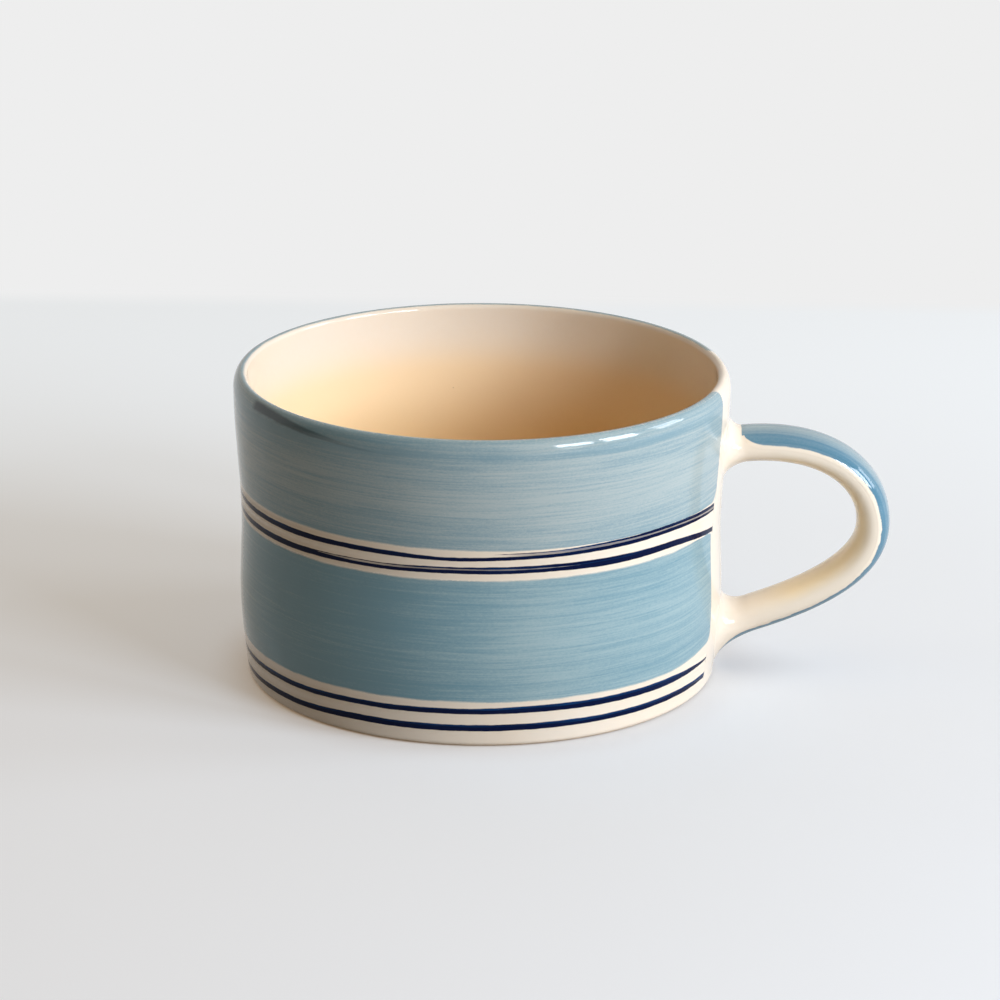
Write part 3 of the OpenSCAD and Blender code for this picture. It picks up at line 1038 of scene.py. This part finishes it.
    def lay(self, tree: ShapeTree, stroke: Stroke, slot: Slot, finish: Material) -> None:
        """Lays one stroke.

        Args:
            tree: the tree that lays slip.
            stroke: where it runs.
            slot: the record's slot.
            finish: its material.
        """
        form = self.form
        piece = tree.run(stroke.node + "_painted", guide_mesh("wall_line", form.wall_line()), {
            "From Length": stroke.low, "To Length": stroke.high, "From Angle": stroke.bare,
            "To Angle": math.tau - stroke.bare, "Radius": form.waist_r, "Margin": stroke.margin,
            "Border": stroke.border, "Lift": self.lift, "Sink": self.sink, "Depth": self.depth,
            "Search": self.search, "Corner Radius": stroke.corner_r, "Wander": stroke.wander,
            "Seed": stroke.seed, "Columns": self.columns, "Rows": stroke.rows, "Cup": self.cup,
            "Hold": stroke.hold, "Material": finish, **dict(zip(SWAYS, stroke.sway))})
        hand_over(piece, slot, stroke.node)


@dataclass(frozen=True)
class Root:
    """One end of the handle where it is luted to the wall."""

    z: float
    half_w: float
    up_h: float
    down_h: float
    face: float
    strap_w: float
    neck: float
    fill: float
    spread: float


@dataclass
class PulledHandle:
    """The strap pulled from a lump of clay, bent to a bow and smoothed into the wall at both roots."""

    form: CupForm
    glaze: ClayGlaze
    strap_w: float = 0.014
    strap_end_w: float = 0.013
    strap_t: float = 0.0079
    upper_root_drop: float = 0.0034
    lower_root_drop: float = 0.0058
    upper_neck_l: float = 0.0044
    lower_neck_l: float = 0.0086
    upper_fill: float = 0.0020
    lower_fill: float = 0.0019
    section_power: float = 2.2
    bow_height_share: float = 0.578
    sunk: float = 0.00005
    cap_depth: float = 0.0012
    cap_shares: tuple[float, ...] = (0.92, 0.6, 0.3)
    upper_spread: float = 0.0012
    lower_spread: float = 0.0018
    hug_share: float = 0.66
    hug_fill_share: float = 0.12
    pull_share: float = 0.64
    fade_in_rate: float = 5.0
    fade_out_rate: float = 3.0
    fade_end: float = 2.1
    sides: int = 96
    strap_rings: int = 130
    root_rings: int = 30
    upper_bow_shares = ((0.0, 1.0), (0.635, 1.2), (1.0, 0.67), (1.0, 0.0))
    lower_bow_shares = ((1.0, 1.0), (1.0, 0.516), (0.526, 0.22), (0.0, 0.0))

    def __post_init__(self) -> None:
        """Takes the roots' places and the reach from the CAD solids."""
        upper_low, upper_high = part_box("upper_luting_slip")
        lower_low, lower_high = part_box("lower_luting_slip")
        half_t = self.strap_t / 2
        upper_z = upper_low.z + half_t + self.upper_root_drop
        lower_z = lower_low.z + half_t + self.lower_root_drop
        bow_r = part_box("handle")[1].x - half_t
        bow_z = between(lower_z, upper_z, self.bow_height_share)
        self.upper_curve = self._control(self.upper_bow_shares, upper_z, bow_r, bow_z, upper_z)
        self.lower_curve = self._control(self.lower_bow_shares, lower_z, bow_r, lower_z, bow_z)
        upper_neck = self.upper_neck_l / np.linalg.norm(self._slope(self.upper_curve, 0.0))
        lower_neck = 2.0 - self.lower_neck_l / np.linalg.norm(self._slope(self.lower_curve, 1.0))
        self.upper = Root(upper_z, upper_high.y, upper_high.z - upper_z, upper_z - upper_low.z, 1.0,
                          self.strap_w, upper_neck, self.upper_fill, self.upper_spread)
        self.lower = Root(lower_z, lower_high.y, lower_high.z - lower_z, lower_z - lower_low.z, -1.0,
                          self.strap_end_w, lower_neck, self.lower_fill, self.lower_spread)

    def _control(self, shares: Any, root_z: float, bow_r: float, low: float, high: float) -> np.ndarray:
        """A bow's control points, from shares of its reach and of its drop."""
        start = float(self.form.wall_r(root_z))
        return np.array([(between(start, bow_r, s), between(low, high, t)) for s, t in shares])

    @staticmethod
    def _point(p: Sequence[np.ndarray], t: float) -> np.ndarray:
        """A point of a cubic curve, or points of many curves at once."""
        u = 1.0 - t
        return u ** 3 * p[0] + 3 * u * u * t * p[1] + 3 * u * t * t * p[2] + t ** 3 * p[3]

    @staticmethod
    def _slope(p: np.ndarray, t: float) -> np.ndarray:
        """The direction of a cubic curve, with its speed."""
        u = 1.0 - t
        return 3 * (u * u * (p[1] - p[0]) + 2 * u * t * (p[2] - p[1]) + t * t * (p[3] - p[2]))

    def section(self, angle: np.ndarray, width: float) -> tuple[np.ndarray, np.ndarray]:
        """The strap's rounded section: how far across and how far out from its centre line."""
        power = 2.0 / self.section_power
        cos, sin = np.cos(angle), np.sin(angle)
        across = width / 2 * np.sign(cos) * np.abs(cos) ** power
        out = self.strap_t / 2 * np.sign(sin) * np.abs(sin) ** power
        return across, out

    def strap_ring(self, angle: np.ndarray, s: float) -> np.ndarray:
        """Points round the strap: s is 0 at the upper root, 1 at the bow and 2 at the lower root."""
        curve, t = (self.upper_curve, s) if s < 1.0 else (self.lower_curve, s - 1.0)
        centre, heading = self._point(curve, t), self._slope(curve, t)
        heading = heading / np.linalg.norm(heading)
        across, out = self.section(angle, between(self.strap_w, self.strap_end_w, s / 2))
        return np.column_stack((centre[0] - out * heading[1], across, centre[1] + out * heading[0]))

    def wall_point(self, z: np.ndarray, across: np.ndarray, lift: Any) -> np.ndarray:
        """Points that lie on the wall, lifted off it."""
        radius = self.form.wall_r(z)
        turn = across / radius
        return np.column_stack(((radius + lift) * np.cos(turn), (radius + lift) * np.sin(turn), z))

    def root_outline(self, root: Root, angle: np.ndarray, share: float) -> tuple[np.ndarray, np.ndarray]:
        """A root's outline on the wall: its heights and how far across it reaches."""
        up = root.face * np.sin(angle)
        reach = np.where(up > 0, root.up_h, root.down_h)
        return root.z + share * reach * up, share * (root.half_w + root.spread) * np.cos(angle)

    def root_ring(self, root: Root, angle: np.ndarray, t: float) -> np.ndarray:
        """Points round a root: t is 0 at its rim on the wall and 1 where it has become the strap."""
        rim_z, rim_across = self.root_outline(root, angle, 1.0)
        across, out = self.section(angle, root.strap_w)
        under_z = root.z + root.face * out
        neck = self.strap_ring(angle, root.neck)
        corner = self.wall_point(under_z, across, root.fill)
        rim = self.wall_point(rim_z, rim_across, -self.sunk)
        hug = self.wall_point(between(rim_z, under_z, self.hug_share),
                              between(rim_across, across, self.hug_share), root.fill * self.hug_fill_share)
        return self._point((rim, hug, between(neck, corner, self.pull_share), neck), t)

    def ring(self, angle: np.ndarray, q: float) -> np.ndarray:
        """Points round the handle: -1 to 0 is the upper root, 0 to 2 the strap, 2 to 3 the lower root."""
        if q < 0.0:
            return self.root_ring(self.upper, angle, q + 1.0)
        if q > 2.0:
            return self.root_ring(self.lower, angle, 3.0 - q)
        return self.strap_ring(angle, between(self.upper.neck, self.lower.neck, q / 2.0))

    def _cap(self, root: Root, angle: np.ndarray) -> list[np.ndarray]:
        """Rings that close a root inside the wall, the outer one first."""
        rings = []
        for share in self.cap_shares:
            z, across = self.root_outline(root, angle, share)
            rings.append(self.wall_point(z, across, -self.cap_depth))
        return rings

    def strap_share(self, q: np.ndarray) -> np.ndarray:
        """1 along the strap, fading out to 0 at its roots."""
        begun = np.clip(q * self.fade_in_rate, 0.0, 1.0)
        return begun * np.clip((self.fade_end - q) * self.fade_out_rate, 0.0, 1.0)

    def build(self) -> Object:
        """Makes the handle.

        Returns:
            The handle as a closed mesh.
        """
        angle = np.linspace(0.0, math.tau, self.sides, endpoint=False)
        stations = np.concatenate((
            np.linspace(-1.0, 0.0, self.root_rings, endpoint=False),
            np.linspace(0.0, 2.0, self.strap_rings, endpoint=False),
            np.linspace(2.0, 3.0, self.root_rings + 1)))
        lead = self._cap(self.upper, angle)[::-1]
        rings = lead + [self.ring(angle, q) for q in stations] + self._cap(self.lower, angle)
        mesh = skinned_mesh("handle_pulled", rings)
        strap = self.strap_share(stations)
        first = sum(len(ring) for ring in lead)
        # strap marks the painted light along the strap; bow marks the painted warm shade on its inner face.
        for name, facing in (("strap", np.ones(self.sides)), ("bow", np.clip(-np.sin(angle), 0.0, 1.0))):
            values = np.zeros(len(mesh.vertices))
            values[first:first + len(stations) * self.sides] = np.outer(strap, facing).ravel()
            mesh.attributes.new(name, "FLOAT", "POINT").data.foreach_set("value", values)
        mesh.materials.append(self.glaze.material("bow_glaze"))
        piece = link_piece("handle_pulled", mesh)
        hand_over(piece, Slot.CREAM, "handle", "upper_luting_slip", "lower_luting_slip")
        return piece


def link_piece(name: str, mesh: Mesh) -> Object:
    """Puts a mesh into the scene, smooth shaded."""
    mesh.polygons.foreach_set("use_smooth", [True] * len(mesh.polygons))
    return linked(name, mesh)


def quads(rows: int, n: int, wide: int) -> list[tuple[int, ...]]:
    """Faces between neighbouring rows of n points: wide of them to a row, which closes it if it is n."""
    return [(i * n + j, i * n + n + j, i * n + n + (j + 1) % n, i * n + (j + 1) % n)
            for i in range(rows - 1) for j in range(wide)]


def skinned_mesh(name: str, rings: list[np.ndarray]) -> Mesh:
    """A closed mesh over rings of equal size, with a middle point at each end.

    Args:
        name: the mesh's name.
        rings: the rings in order.

    Returns:
        The mesh, with its faces turned outward.
    """
    n = len(rings[0])
    points = np.vstack([*rings, rings[0].mean(0), rings[-1].mean(0)])
    first, last = len(points) - 2, len(points) - 1
    base = len(rings) * n - n
    faces = quads(len(rings), n, n)
    faces += [(first, j, (j + 1) % n) for j in range(n)]
    faces += [(last, base + (j + 1) % n, base + j) for j in range(n)]
    mesh = bpy.data.meshes.new(name)
    mesh.from_pydata(points.tolist(), [], faces)
    turn_outward(mesh)
    return mesh


def turn_outward(mesh: Mesh, merge: float = 0.0) -> None:
    """Turns the faces of a closed mesh outward, after points that lie within a distance are merged."""
    form = bmesh.new()
    form.from_mesh(mesh)
    if merge:
        bmesh.ops.remove_doubles(form, verts=form.verts, dist=merge)
    bmesh.ops.recalc_face_normals(form, faces=form.faces)
    if form.calc_volume(signed=True) < 0:
        bmesh.ops.reverse_faces(form, faces=form.faces)
    form.to_mesh(mesh)
    form.free()


@dataclass
class HandleStroke:
    """The blue brush stroke along the handle's outer face, a thin layer that sinks in at its rim."""

    handle: PulledHandle
    half_angle: float = 78.0
    end_half_angle: float = 60.0
    start: float = -0.14
    end: float = 2.95
    tip_l: float = 0.09
    tip_share: float = 0.5
    tail_l: float = 0.60
    tail_least: float = 0.02
    last: float = 2.995
    step: float = 0.004
    margin_angle: float = 12.0
    margin_l: float = 0.04
    lift: float = 0.000035
    sink: float = 0.00003
    depth: float = 0.00015
    tip_reach: float = 0.012
    soft_rows: int = 4
    merge: float = 1e-7
    sides: int = 40
    stations: int = 240

    def _width_share(self, q: float) -> float:
        """How much of its width the stroke has, round at its start and drawn out at its end."""
        short = 1.0 - min(max(q, 0.0) / self.tip_l, 1.0)
        left = min(max(self.end - q, self.tail_least) / self.tail_l, 1.0)
        return between(self.tip_share, 1.0, math.sqrt(1.0 - short * short)) * math.sqrt(left)

    def build(self, finish: Material) -> Object:
        """Makes the stroke.

        Args:
            finish: its material.

        Returns:
            The stroke as a closed thin layer.
        """
        across = eased(np.linspace(0.0, 1.0, self.sides + 1)) * 2.0 - 1.0
        step, ring = self.step, self.handle.ring
        rows, outs, edges, widths = [], [], [], []
        last = min(self.end + self.margin_l, self.last)
        stations = np.linspace(self.start - self.margin_l, last, self.stations + 1)
        for q in stations:
            half = self._width_share(q) * between(self.half_angle, self.end_half_angle, q / self.end)
            spread = half + self.margin_angle
            angle = np.radians(90.0 + across * spread)
            here = ring(angle, q)
            out = np.cross(ring(angle + step, q) - ring(angle - step, q),
                           ring(angle, q + step) - ring(angle, q - step))
            outs.append(out / np.linalg.norm(out, axis=1)[:, None])
            rows.append(here)
            length = run_length(here)
            length -= length[-1] / 2
            paint = length[-1] * half / spread
            tip = min(q - self.start, self.end - q) * self.tip_reach
            edges.append(np.minimum(paint - np.abs(length), tip))
            widths.append(length)
        points = np.array(rows)
        run = run_length(points[:, self.sides // 2])
        along = np.repeat(run[:, None], self.sides + 1, axis=1)
        strap = np.repeat(self.handle.strap_share(stations)[:, None], self.sides + 1, axis=1)
        held = {"edge": np.array(edges), "across": np.array(widths), "along": along, "strap": strap,
                "bow": strap * 0.0}
        return self._layer(points, np.array(outs), held, finish)

    def _layer(self, points: np.ndarray, outs: np.ndarray, held: dict[str, np.ndarray],
               finish: Material) -> Object:
        """A closed layer from a grid of points, the directions out of it and the values held at them.

        Args:
            points: the grid, row by row along the stroke.
            outs: the outward direction at each point.
            held: named values at each point, for the material.
            finish: the material.

        Returns:
            The layer.
        """
        rows, n = points.shape[:2]
        inner = np.ones((rows, n))
        ramp = eased(np.linspace(0.0, 1.0, self.soft_rows + 1))[:-1]
        for k, share in enumerate(ramp):
            for rim in (inner[k], inner[-1 - k], inner[:, k], inner[:, -1 - k]):
                np.minimum(rim, share, out=rim)
        face = points + outs * (inner * (self.lift + self.sink) - self.sink)[..., None]
        back = points + outs * (inner * (self.sink - self.depth) - self.sink)[..., None]
        mesh = bpy.data.meshes.new("handle_stroke")
        size = rows * n
        faces = quads(rows, n, n - 1)
        faces += [tuple(size + k for k in reversed(quad)) for quad in faces]
        mesh.from_pydata(np.concatenate((face.reshape(-1, 3), back.reshape(-1, 3))).tolist(), [], faces)
        for name, values in held.items():
            layer = mesh.attributes.new(name, "FLOAT", "POINT")
            layer.data.foreach_set("value", np.tile(values.ravel(), 2).astype(np.float32))
        turn_outward(mesh, self.merge)
        mesh.materials.append(finish)
        piece = link_piece("handle_blue_stroke_painted", mesh)
        hand_over(piece, Slot.BLUE, "handle_blue_stroke")
        return piece


@dataclass
class Studio:
    """The pale floor, the soft panes of light and the dim warm fill from overhead."""

    floor_size: float = 6.0
    floor_colour: Colour = (0.464, 0.530, 0.600)
    far_colour: Colour = (0.855, 0.855, 0.855)
    bounce_colour: Colour = (0.42, 0.37, 0.31)
    far_y: float = 0.318
    far_soft: float = 0.010
    cloud_size: float = 0.25
    cloud_depth: float = 0.06
    cloud_colour: Colour = (0.42, 0.46, 0.50)
    glow_y: Span = (-0.05, 0.30)
    glow_colour: Colour = (0.366, 0.331, 0.305)
    far_glow: Colour = (0.497, 0.497, 0.494)
    fill_low: Colour = (0.028, 0.036, 0.042)
    fill_high: Colour = (0.50, 0.33, 0.13)
    fill_z: Span = (0.5, 0.98)
    behind_y: Span = (-0.2, 0.3)
    painted_contact_shadow_colour: Colour = (0.20, 0.13, 0.07)
    contact_shadow_reach: float = 0.016
    contact_shadow_range: Span = (0.1, 0.95)
    contact_samples: int = 8
    aim_z: float = 0.035
    pane_colour: Colour = (0.95, 1.0, 1.075)
    pane_w: float = 0.30
    pane_h: float = 0.34
    pane_distance: float = 1.05
    pane_rise: float = 22.0
    pane_powers: tuple[float, ...] = (6.3, 6.2, 2.6)
    pane_turns: tuple[float, ...] = (44.0, 67.0, 96.0)
    fill_lamps: tuple[tuple[float, float, float, float], ...] = (
        (195.0, 35.0, 0.9, 1.4), (250.0, 7.0, 0.25, 1.2))

    @staticmethod
    def _seen(wires: Wires) -> tuple[Signal, Signal]:
        """1 for what the camera sees directly, and 1 for what shows in a gloss or through glass."""
        path = wires.node("ShaderNodeLightPath")
        mirrored = wires.out(path, "Is Glossy Ray").most(wires.out(path, "Is Transmission Ray"))
        return wires.out(path, "Is Camera Ray"), mirrored

    def floor(self) -> None:
        """A plain pale floor that runs into an even pale distance, with a painted contact shadow round the
        mug's foot.
        """
        half = self.floor_size / 2
        mesh = bpy.data.meshes.new("floor")
        mesh.from_pydata([(-half, -half, 0), (half, -half, 0), (half, half, 0), (-half, half, 0)], [],
                         [(0, 1, 2, 3)])
        wires = new_finish("pale_floor")
        place = wires.place()
        y = wires.parts(place)[1]
        far = y.rise(self.far_y - self.far_soft, self.far_y + self.far_soft)
        cloud = (0.5 + wires.grained(place, (self.cloud_size,) * 3)).rise(0.0, 1.0)
        colour = wires.blend(cloud * self.cloud_depth, self.floor_colour, self.cloud_colour)
        glow = wires.blend(y.rise(*self.glow_y), self.glow_colour, self.far_glow)
        # Painted contact shadow: the floor's glow darkens to a warm brown where the mug's foot hems it in.
        corner = wires.node("ShaderNodeAmbientOcclusion", {"samples": self.contact_samples},
                            {"Distance": self.contact_shadow_reach})
        open_sky = wires.out(corner, "AO").rise(*self.contact_shadow_range)
        glow = wires.blend(open_sky, self.painted_contact_shadow_colour, glow)
        near = wires.flow("ShaderNodeAddShader", {
            0: wires.flow("ShaderNodeBsdfDiffuse", {"Color": colour}),
            1: wires.flow("ShaderNodeEmission", {"Color": glow, "Strength": 1.0})})
        beyond = wires.flow("ShaderNodeEmission", {"Color": self.far_colour, "Strength": 1.0})
        look = wires.flow("ShaderNodeMixShader", {0: far, 1: near, 2: beyond})
        bounce = wires.flow("ShaderNodeBsdfDiffuse", {"Color": self.bounce_colour})
        direct, mirrored = self._seen(wires)
        both = wires.flow("ShaderNodeMixShader", {0: direct.most(mirrored), 1: bounce, 2: look})
        wires.node("ShaderNodeOutputMaterial", None, {"Surface": both})
        mesh.materials.append(bpy.data.materials["pale_floor"])
        floor = linked("floor", mesh)

    def light(self) -> None:
        """Three soft panes to the right of the camera, like a window's, and two weaker fills."""
        for turn, power in zip(self.pane_turns, self.pane_powers):
            self._lamp("pane", turn, self.pane_rise, (self.pane_w, self.pane_h), power)
        for turn, rise, size, power in self.fill_lamps:
            lamp = self._lamp("fill", turn, rise, (size, size), power)
            lamp.visible_glossy = False

    def _lamp(self, name: str, turn: float, rise: float, size: Span,
              power: float) -> Object:
        """A soft rectangle of light that faces the mug.

        Args:
            name: its name.
            turn: its direction about the mug, in degrees from the camera's side towards the handle.
            rise: its height above the floor, in degrees.
            size: its width and height.
            power: its power in watts.

        Returns:
            The lamp.
        """
        a, e = math.radians(turn), math.radians(rise)
        back = Vector((math.sin(a) * math.cos(e), -math.cos(a) * math.cos(e), math.sin(e)))
        lamp = bpy.data.lights.new(name, "AREA")
        lamp.shape = "RECTANGLE"
        lamp.size, lamp.size_y = size
        lamp.energy = power
        lamp.color = self.pane_colour
        holder = linked(lamp.name, lamp)
        holder.location = back * self.pane_distance + Vector((0, 0, self.aim_z))
        holder.rotation_euler = (-back).to_track_quat("-Z", "Y").to_euler()
        return holder

    def surround(self) -> None:
        """A dim warm fill, stronger overhead, with a pale distance for the camera and for what gleams."""
        world = bpy.data.worlds.new("fill")
        world.use_nodes = True
        world.node_tree.nodes.clear()
        wires = Wires(world.node_tree)
        _, y, z = wires.parts(wires.flow("ShaderNodeTexCoord", key="Generated"))
        fill = wires.blend(z.rise(*self.fill_z), self.fill_low, self.fill_high)
        room = wires.flow("ShaderNodeBackground", {"Color": fill, "Strength": 1.0})
        white = wires.flow("ShaderNodeBackground", {"Color": self.far_colour, "Strength": 1.0})
        direct, mirrored = self._seen(wires)
        seen = direct.most(mirrored * y.rise(*self.behind_y))
        both = wires.flow("ShaderNodeMixShader", {0: seen, 1: room, 2: white})
        wires.node("ShaderNodeOutputWorld", None, {"Surface": both})
        bpy.context.scene.world = world


@dataclass(frozen=True)
class PhotoCamera:
    """The camera fitted to the cup's rim and foot in the photograph, in degrees and metres."""

    distance: float = 0.999
    aim_z: float = 0.035
    turn: float = 1.5
    rise: float = 18.65
    pitch: float = 18.33
    yaw: float = 0.2645
    roll: float = 0.33
    lens_mm: float = 151.2
    sensor_mm: float = 36.0

    def place(self) -> None:
        """Makes the camera and sets it as the scene's."""
        rise, pitch, yaw, roll = (math.radians(v) for v in (self.rise, self.pitch, self.yaw, self.roll))
        spot = Vector((0.0, -self.distance * math.cos(rise), self.aim_z + self.distance * math.sin(rise)))
        ahead = Vector((math.sin(yaw) * math.cos(pitch), math.cos(yaw) * math.cos(pitch), -math.sin(pitch)))
        right = ahead.cross(Vector((0, 0, 1))).normalized()
        up = right.cross(ahead)
        rolled_right = right * math.cos(roll) + up * math.sin(roll)
        rolled_up = up * math.cos(roll) - right * math.sin(roll)
        axes = Matrix((rolled_right, rolled_up, -ahead)).transposed().to_4x4()
        lens = bpy.data.cameras.new("photo_camera")
        lens.sensor_width, lens.lens = self.sensor_mm, self.lens_mm
        holder = linked("photo_camera", lens)
        turn = Matrix.Rotation(math.radians(self.turn), 4, "Z")
        holder.matrix_world = turn @ Matrix.Translation(spot) @ axes
        bpy.context.scene.camera = holder


@dataclass(frozen=True)
class LinePlan:
    """Where a dark line runs: how wide its layer is about the CAD line's middle, and its passes."""

    node: str
    bare: float
    below: float
    above: float
    pale_high: float
    first: BrushPass
    second: BrushPass | None = None


# How far the upper band reaches over the lip's crest.
OVER_CREST = 0.0006
FIRST_LINE_SEED = 11.0
LINE_SEED_STEP = 6.0
# At each of the TURNS: how much darker a band is, from more slip and from painted shade on the cup's dim
# left side (lighter where negative), and how far its low edge sways.
UPPER_LOADS_AND_SHADE = (0.0, 0.15, 0.25, 0.20, 0.05, -0.10, 0.0, 0.0, 0.0)
LOWER_LOADS_AND_SHADE = (0.0, 0.30, 0.60, 0.55, 0.20, -0.12, 0.0, 0.0, 0.0)
UPPER_SWAY = (0.0, 0.00045, 0.00045, 0.00040, 0.00020, -0.00010, -0.00040, -0.00035, -0.00055)
LOWER_SWAY = (0.0, -0.0003, -0.0003, -0.0001, 0.0, 0.0, -0.0001, -0.0002, 0.0024)
LINES = (
    LinePlan("waist_line_upper", bare=0.0168, below=0.0009, above=0.00158, pale_high=0.20, first=BrushPass(
        (0.0, 0.00020, 0.00030, 0.00055, 0.00018, 0.00043, 0.00068, 0.00080, -0.00080),
        (0.0007, 0.00060, 0.00070, 0.00060, 0.00043, 0.00043, 0.00048, 0.00046, 0.00020)), second=BrushPass(
        (0.0011, 0.00110, 0.00110, 0.00110, 0.00110, 0.00105, 0.00112, 0.00112, 0.00105),
        (-0.0002, -0.00020, -0.00020, -0.00020, -0.00012, 0.00013, 0.00027, 0.00042, 0.00042))),
    LinePlan("waist_line_lower", bare=0.0168, below=0.0010, above=0.00145, pale_high=0.20, first=BrushPass(
        (0.0, -0.00055, -0.00040, -0.00032, 0.00005, 0.0, -0.00015, 0.00005, -0.00325),
        (0.0007, 0.00062, 0.00072, 0.00042, 0.00045, 0.00045, 0.00062, 0.00075, 0.00052)), second=BrushPass(
        (0.0003, 0.00050, 0.00055, 0.00093, 0.00093, 0.00095, 0.00075, 0.00035, 0.00010),
        (0.0001, 0.00010, 0.00015, 0.00010, 0.00023, 0.00035, 0.00050, 0.00050, 0.00030))),
    LinePlan("foot_line_upper", bare=0.0191, below=0.0011, above=0.0011, pale_high=0.45, first=BrushPass(
        (0.0, -0.00150, -0.00112, -0.00047, -0.00015, 0.00015, -0.00008, -0.00015, -0.00050),
        (0.0008, 0.00062, 0.00068, 0.00068, 0.00070, 0.00085, 0.00090, 0.00090, -0.00005))),
    LinePlan("foot_line_lower", bare=0.0191, below=0.0010, above=0.0010, pale_high=0.45, first=BrushPass(
        (0.0, -0.00160, -0.00102, -0.00012, 0.0, 0.00008, -0.00007, -0.00008, -0.00040),
        (0.0008, 0.00062, 0.00072, 0.00083, 0.00082, 0.00081, 0.00078, 0.00078, 0.00062))),
)


def paint(form: CupForm, cup: Object, clay: ClayGlaze) -> None:
    """Lays the two bands and the four lines on the cup.

    Args:
        form: the cup's sizes.
        cup: the cup that they follow.
        clay: the finish that they fade into.
    """
    turns = PaintedTurns(form, cup)
    tree = turns.tree()
    low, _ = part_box("upper_blue_band")
    upper = Stroke("upper_blue_band", form.length_to(low.z), form.length_to(form.height) + OVER_CREST,
                   bare=0.0160 / form.waist_r, corner_r=0.0030, rows=60, wander=0.0002, seed=1.0,
                   sway=UPPER_SWAY, hold=1.0, margin=0.00065, border=0.0011)
    # Upper band: its dark hump at 0.81 is a painted shade line just under the lip.
    turns.lay(tree, upper, Slot.BLUE, BrushedSlip(
        "upper_blue_slip", clay, upper.high - upper.low, thick=(0.190, 0.310, 0.365),
        thin=(0.380, 0.452, 0.460), seed=2.0, pale_at_share=0.45, pale_spread_share=0.34, pale_depth=0.30,
        # The dark patch at 207 to 258 degrees is a painted dark reflection under the lip.
        dark_at_share=0.81, dark_spread_share=0.07, loads_and_shade=UPPER_LOADS_AND_SHADE, painted_reflection_turns=(207.0, 258.0),
        painted_reflection_shares=(0.90, 0.79)).material())
    low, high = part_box("lower_blue_band")
    lower = Stroke("lower_blue_band", form.length_to(low.z), form.length_to(high.z),
                   bare=0.0181 / form.waist_r, corner_r=0.0024, rows=56, wander=0.0002, seed=4.0,
                   sway=LOWER_SWAY, hold=1.0, margin=0.00065, border=0.0011)
    turns.lay(tree, lower, Slot.BLUE, BrushedSlip(
        "lower_blue_slip", clay, lower.high - lower.low, thick=(0.148, 0.29, 0.358),
        thin=(0.308, 0.425, 0.455), seed=7.0, pale_at_share=0.42, pale_depth=0.10,
        dark_at_share=0.12, dark_depth=0.12, loads_and_shade=LOWER_LOADS_AND_SHADE).material())
    for number, line in enumerate(LINES):
        low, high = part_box(line.node)
        middle = form.length_to((low.z + high.z) / 2)
        seed = FIRST_LINE_SEED + LINE_SEED_STEP * number
        stroke = Stroke(line.node, middle - line.below, middle + line.above,
                        bare=line.bare / form.waist_r, corner_r=0.0003, rows=22, wander=0.0001, seed=seed,
                        sway=line.first.rises, hold=0.0, margin=0.0003, border=0.00036)
        finish = BrushLine(line.node + "_slip", clay, line.below, line.first, line.second, seed=seed,
                           pale_high=line.pale_high)
        turns.lay(tree, stroke, Slot.DARK_BLUE, finish.material())


def main() -> None:
    """Builds the mug, its finish and the studio."""
    logging.basicConfig(level=logging.INFO, format="%(name)s: %(message)s")
    bpy.context.scene.view_settings.view_transform = "Standard"
    PhotoCamera().place()
    studio = Studio()
    studio.floor()
    studio.light()
    studio.surround()
    form, clay = CupForm.from_frame(), ClayGlaze()
    cup = ThrownCup(form, clay).build()
    paint(form, cup, clay)
    handle = PulledHandle(form, BowGlaze())
    handle.build()
    # On the handle's stroke, the pale hump at the crest is a painted grey sheen of the bright surroundings.
    stroke_slip = StrapSlip("handle_blue_slip", handle.glaze, width=0.0085, thick=(0.075, 0.20, 0.295),
                            thin=(0.30, 0.40, 0.445), seed=5.0, dark_at_share=0.68, dark_spread_share=0.45,
                            dark_depth=0.34, pale_at_share=0.0, pale_spread_share=0.60, pale_depth=0.28,
                            edge_soft=0.00018, edge_ragged=0.0006, streak_depths=(0.5, 0.6, 0.5, 0.5),
                            grain_depth=0.5)
    HandleStroke(handle).build(stroke_slip.material())


if __name__ == "__main__":
    main()
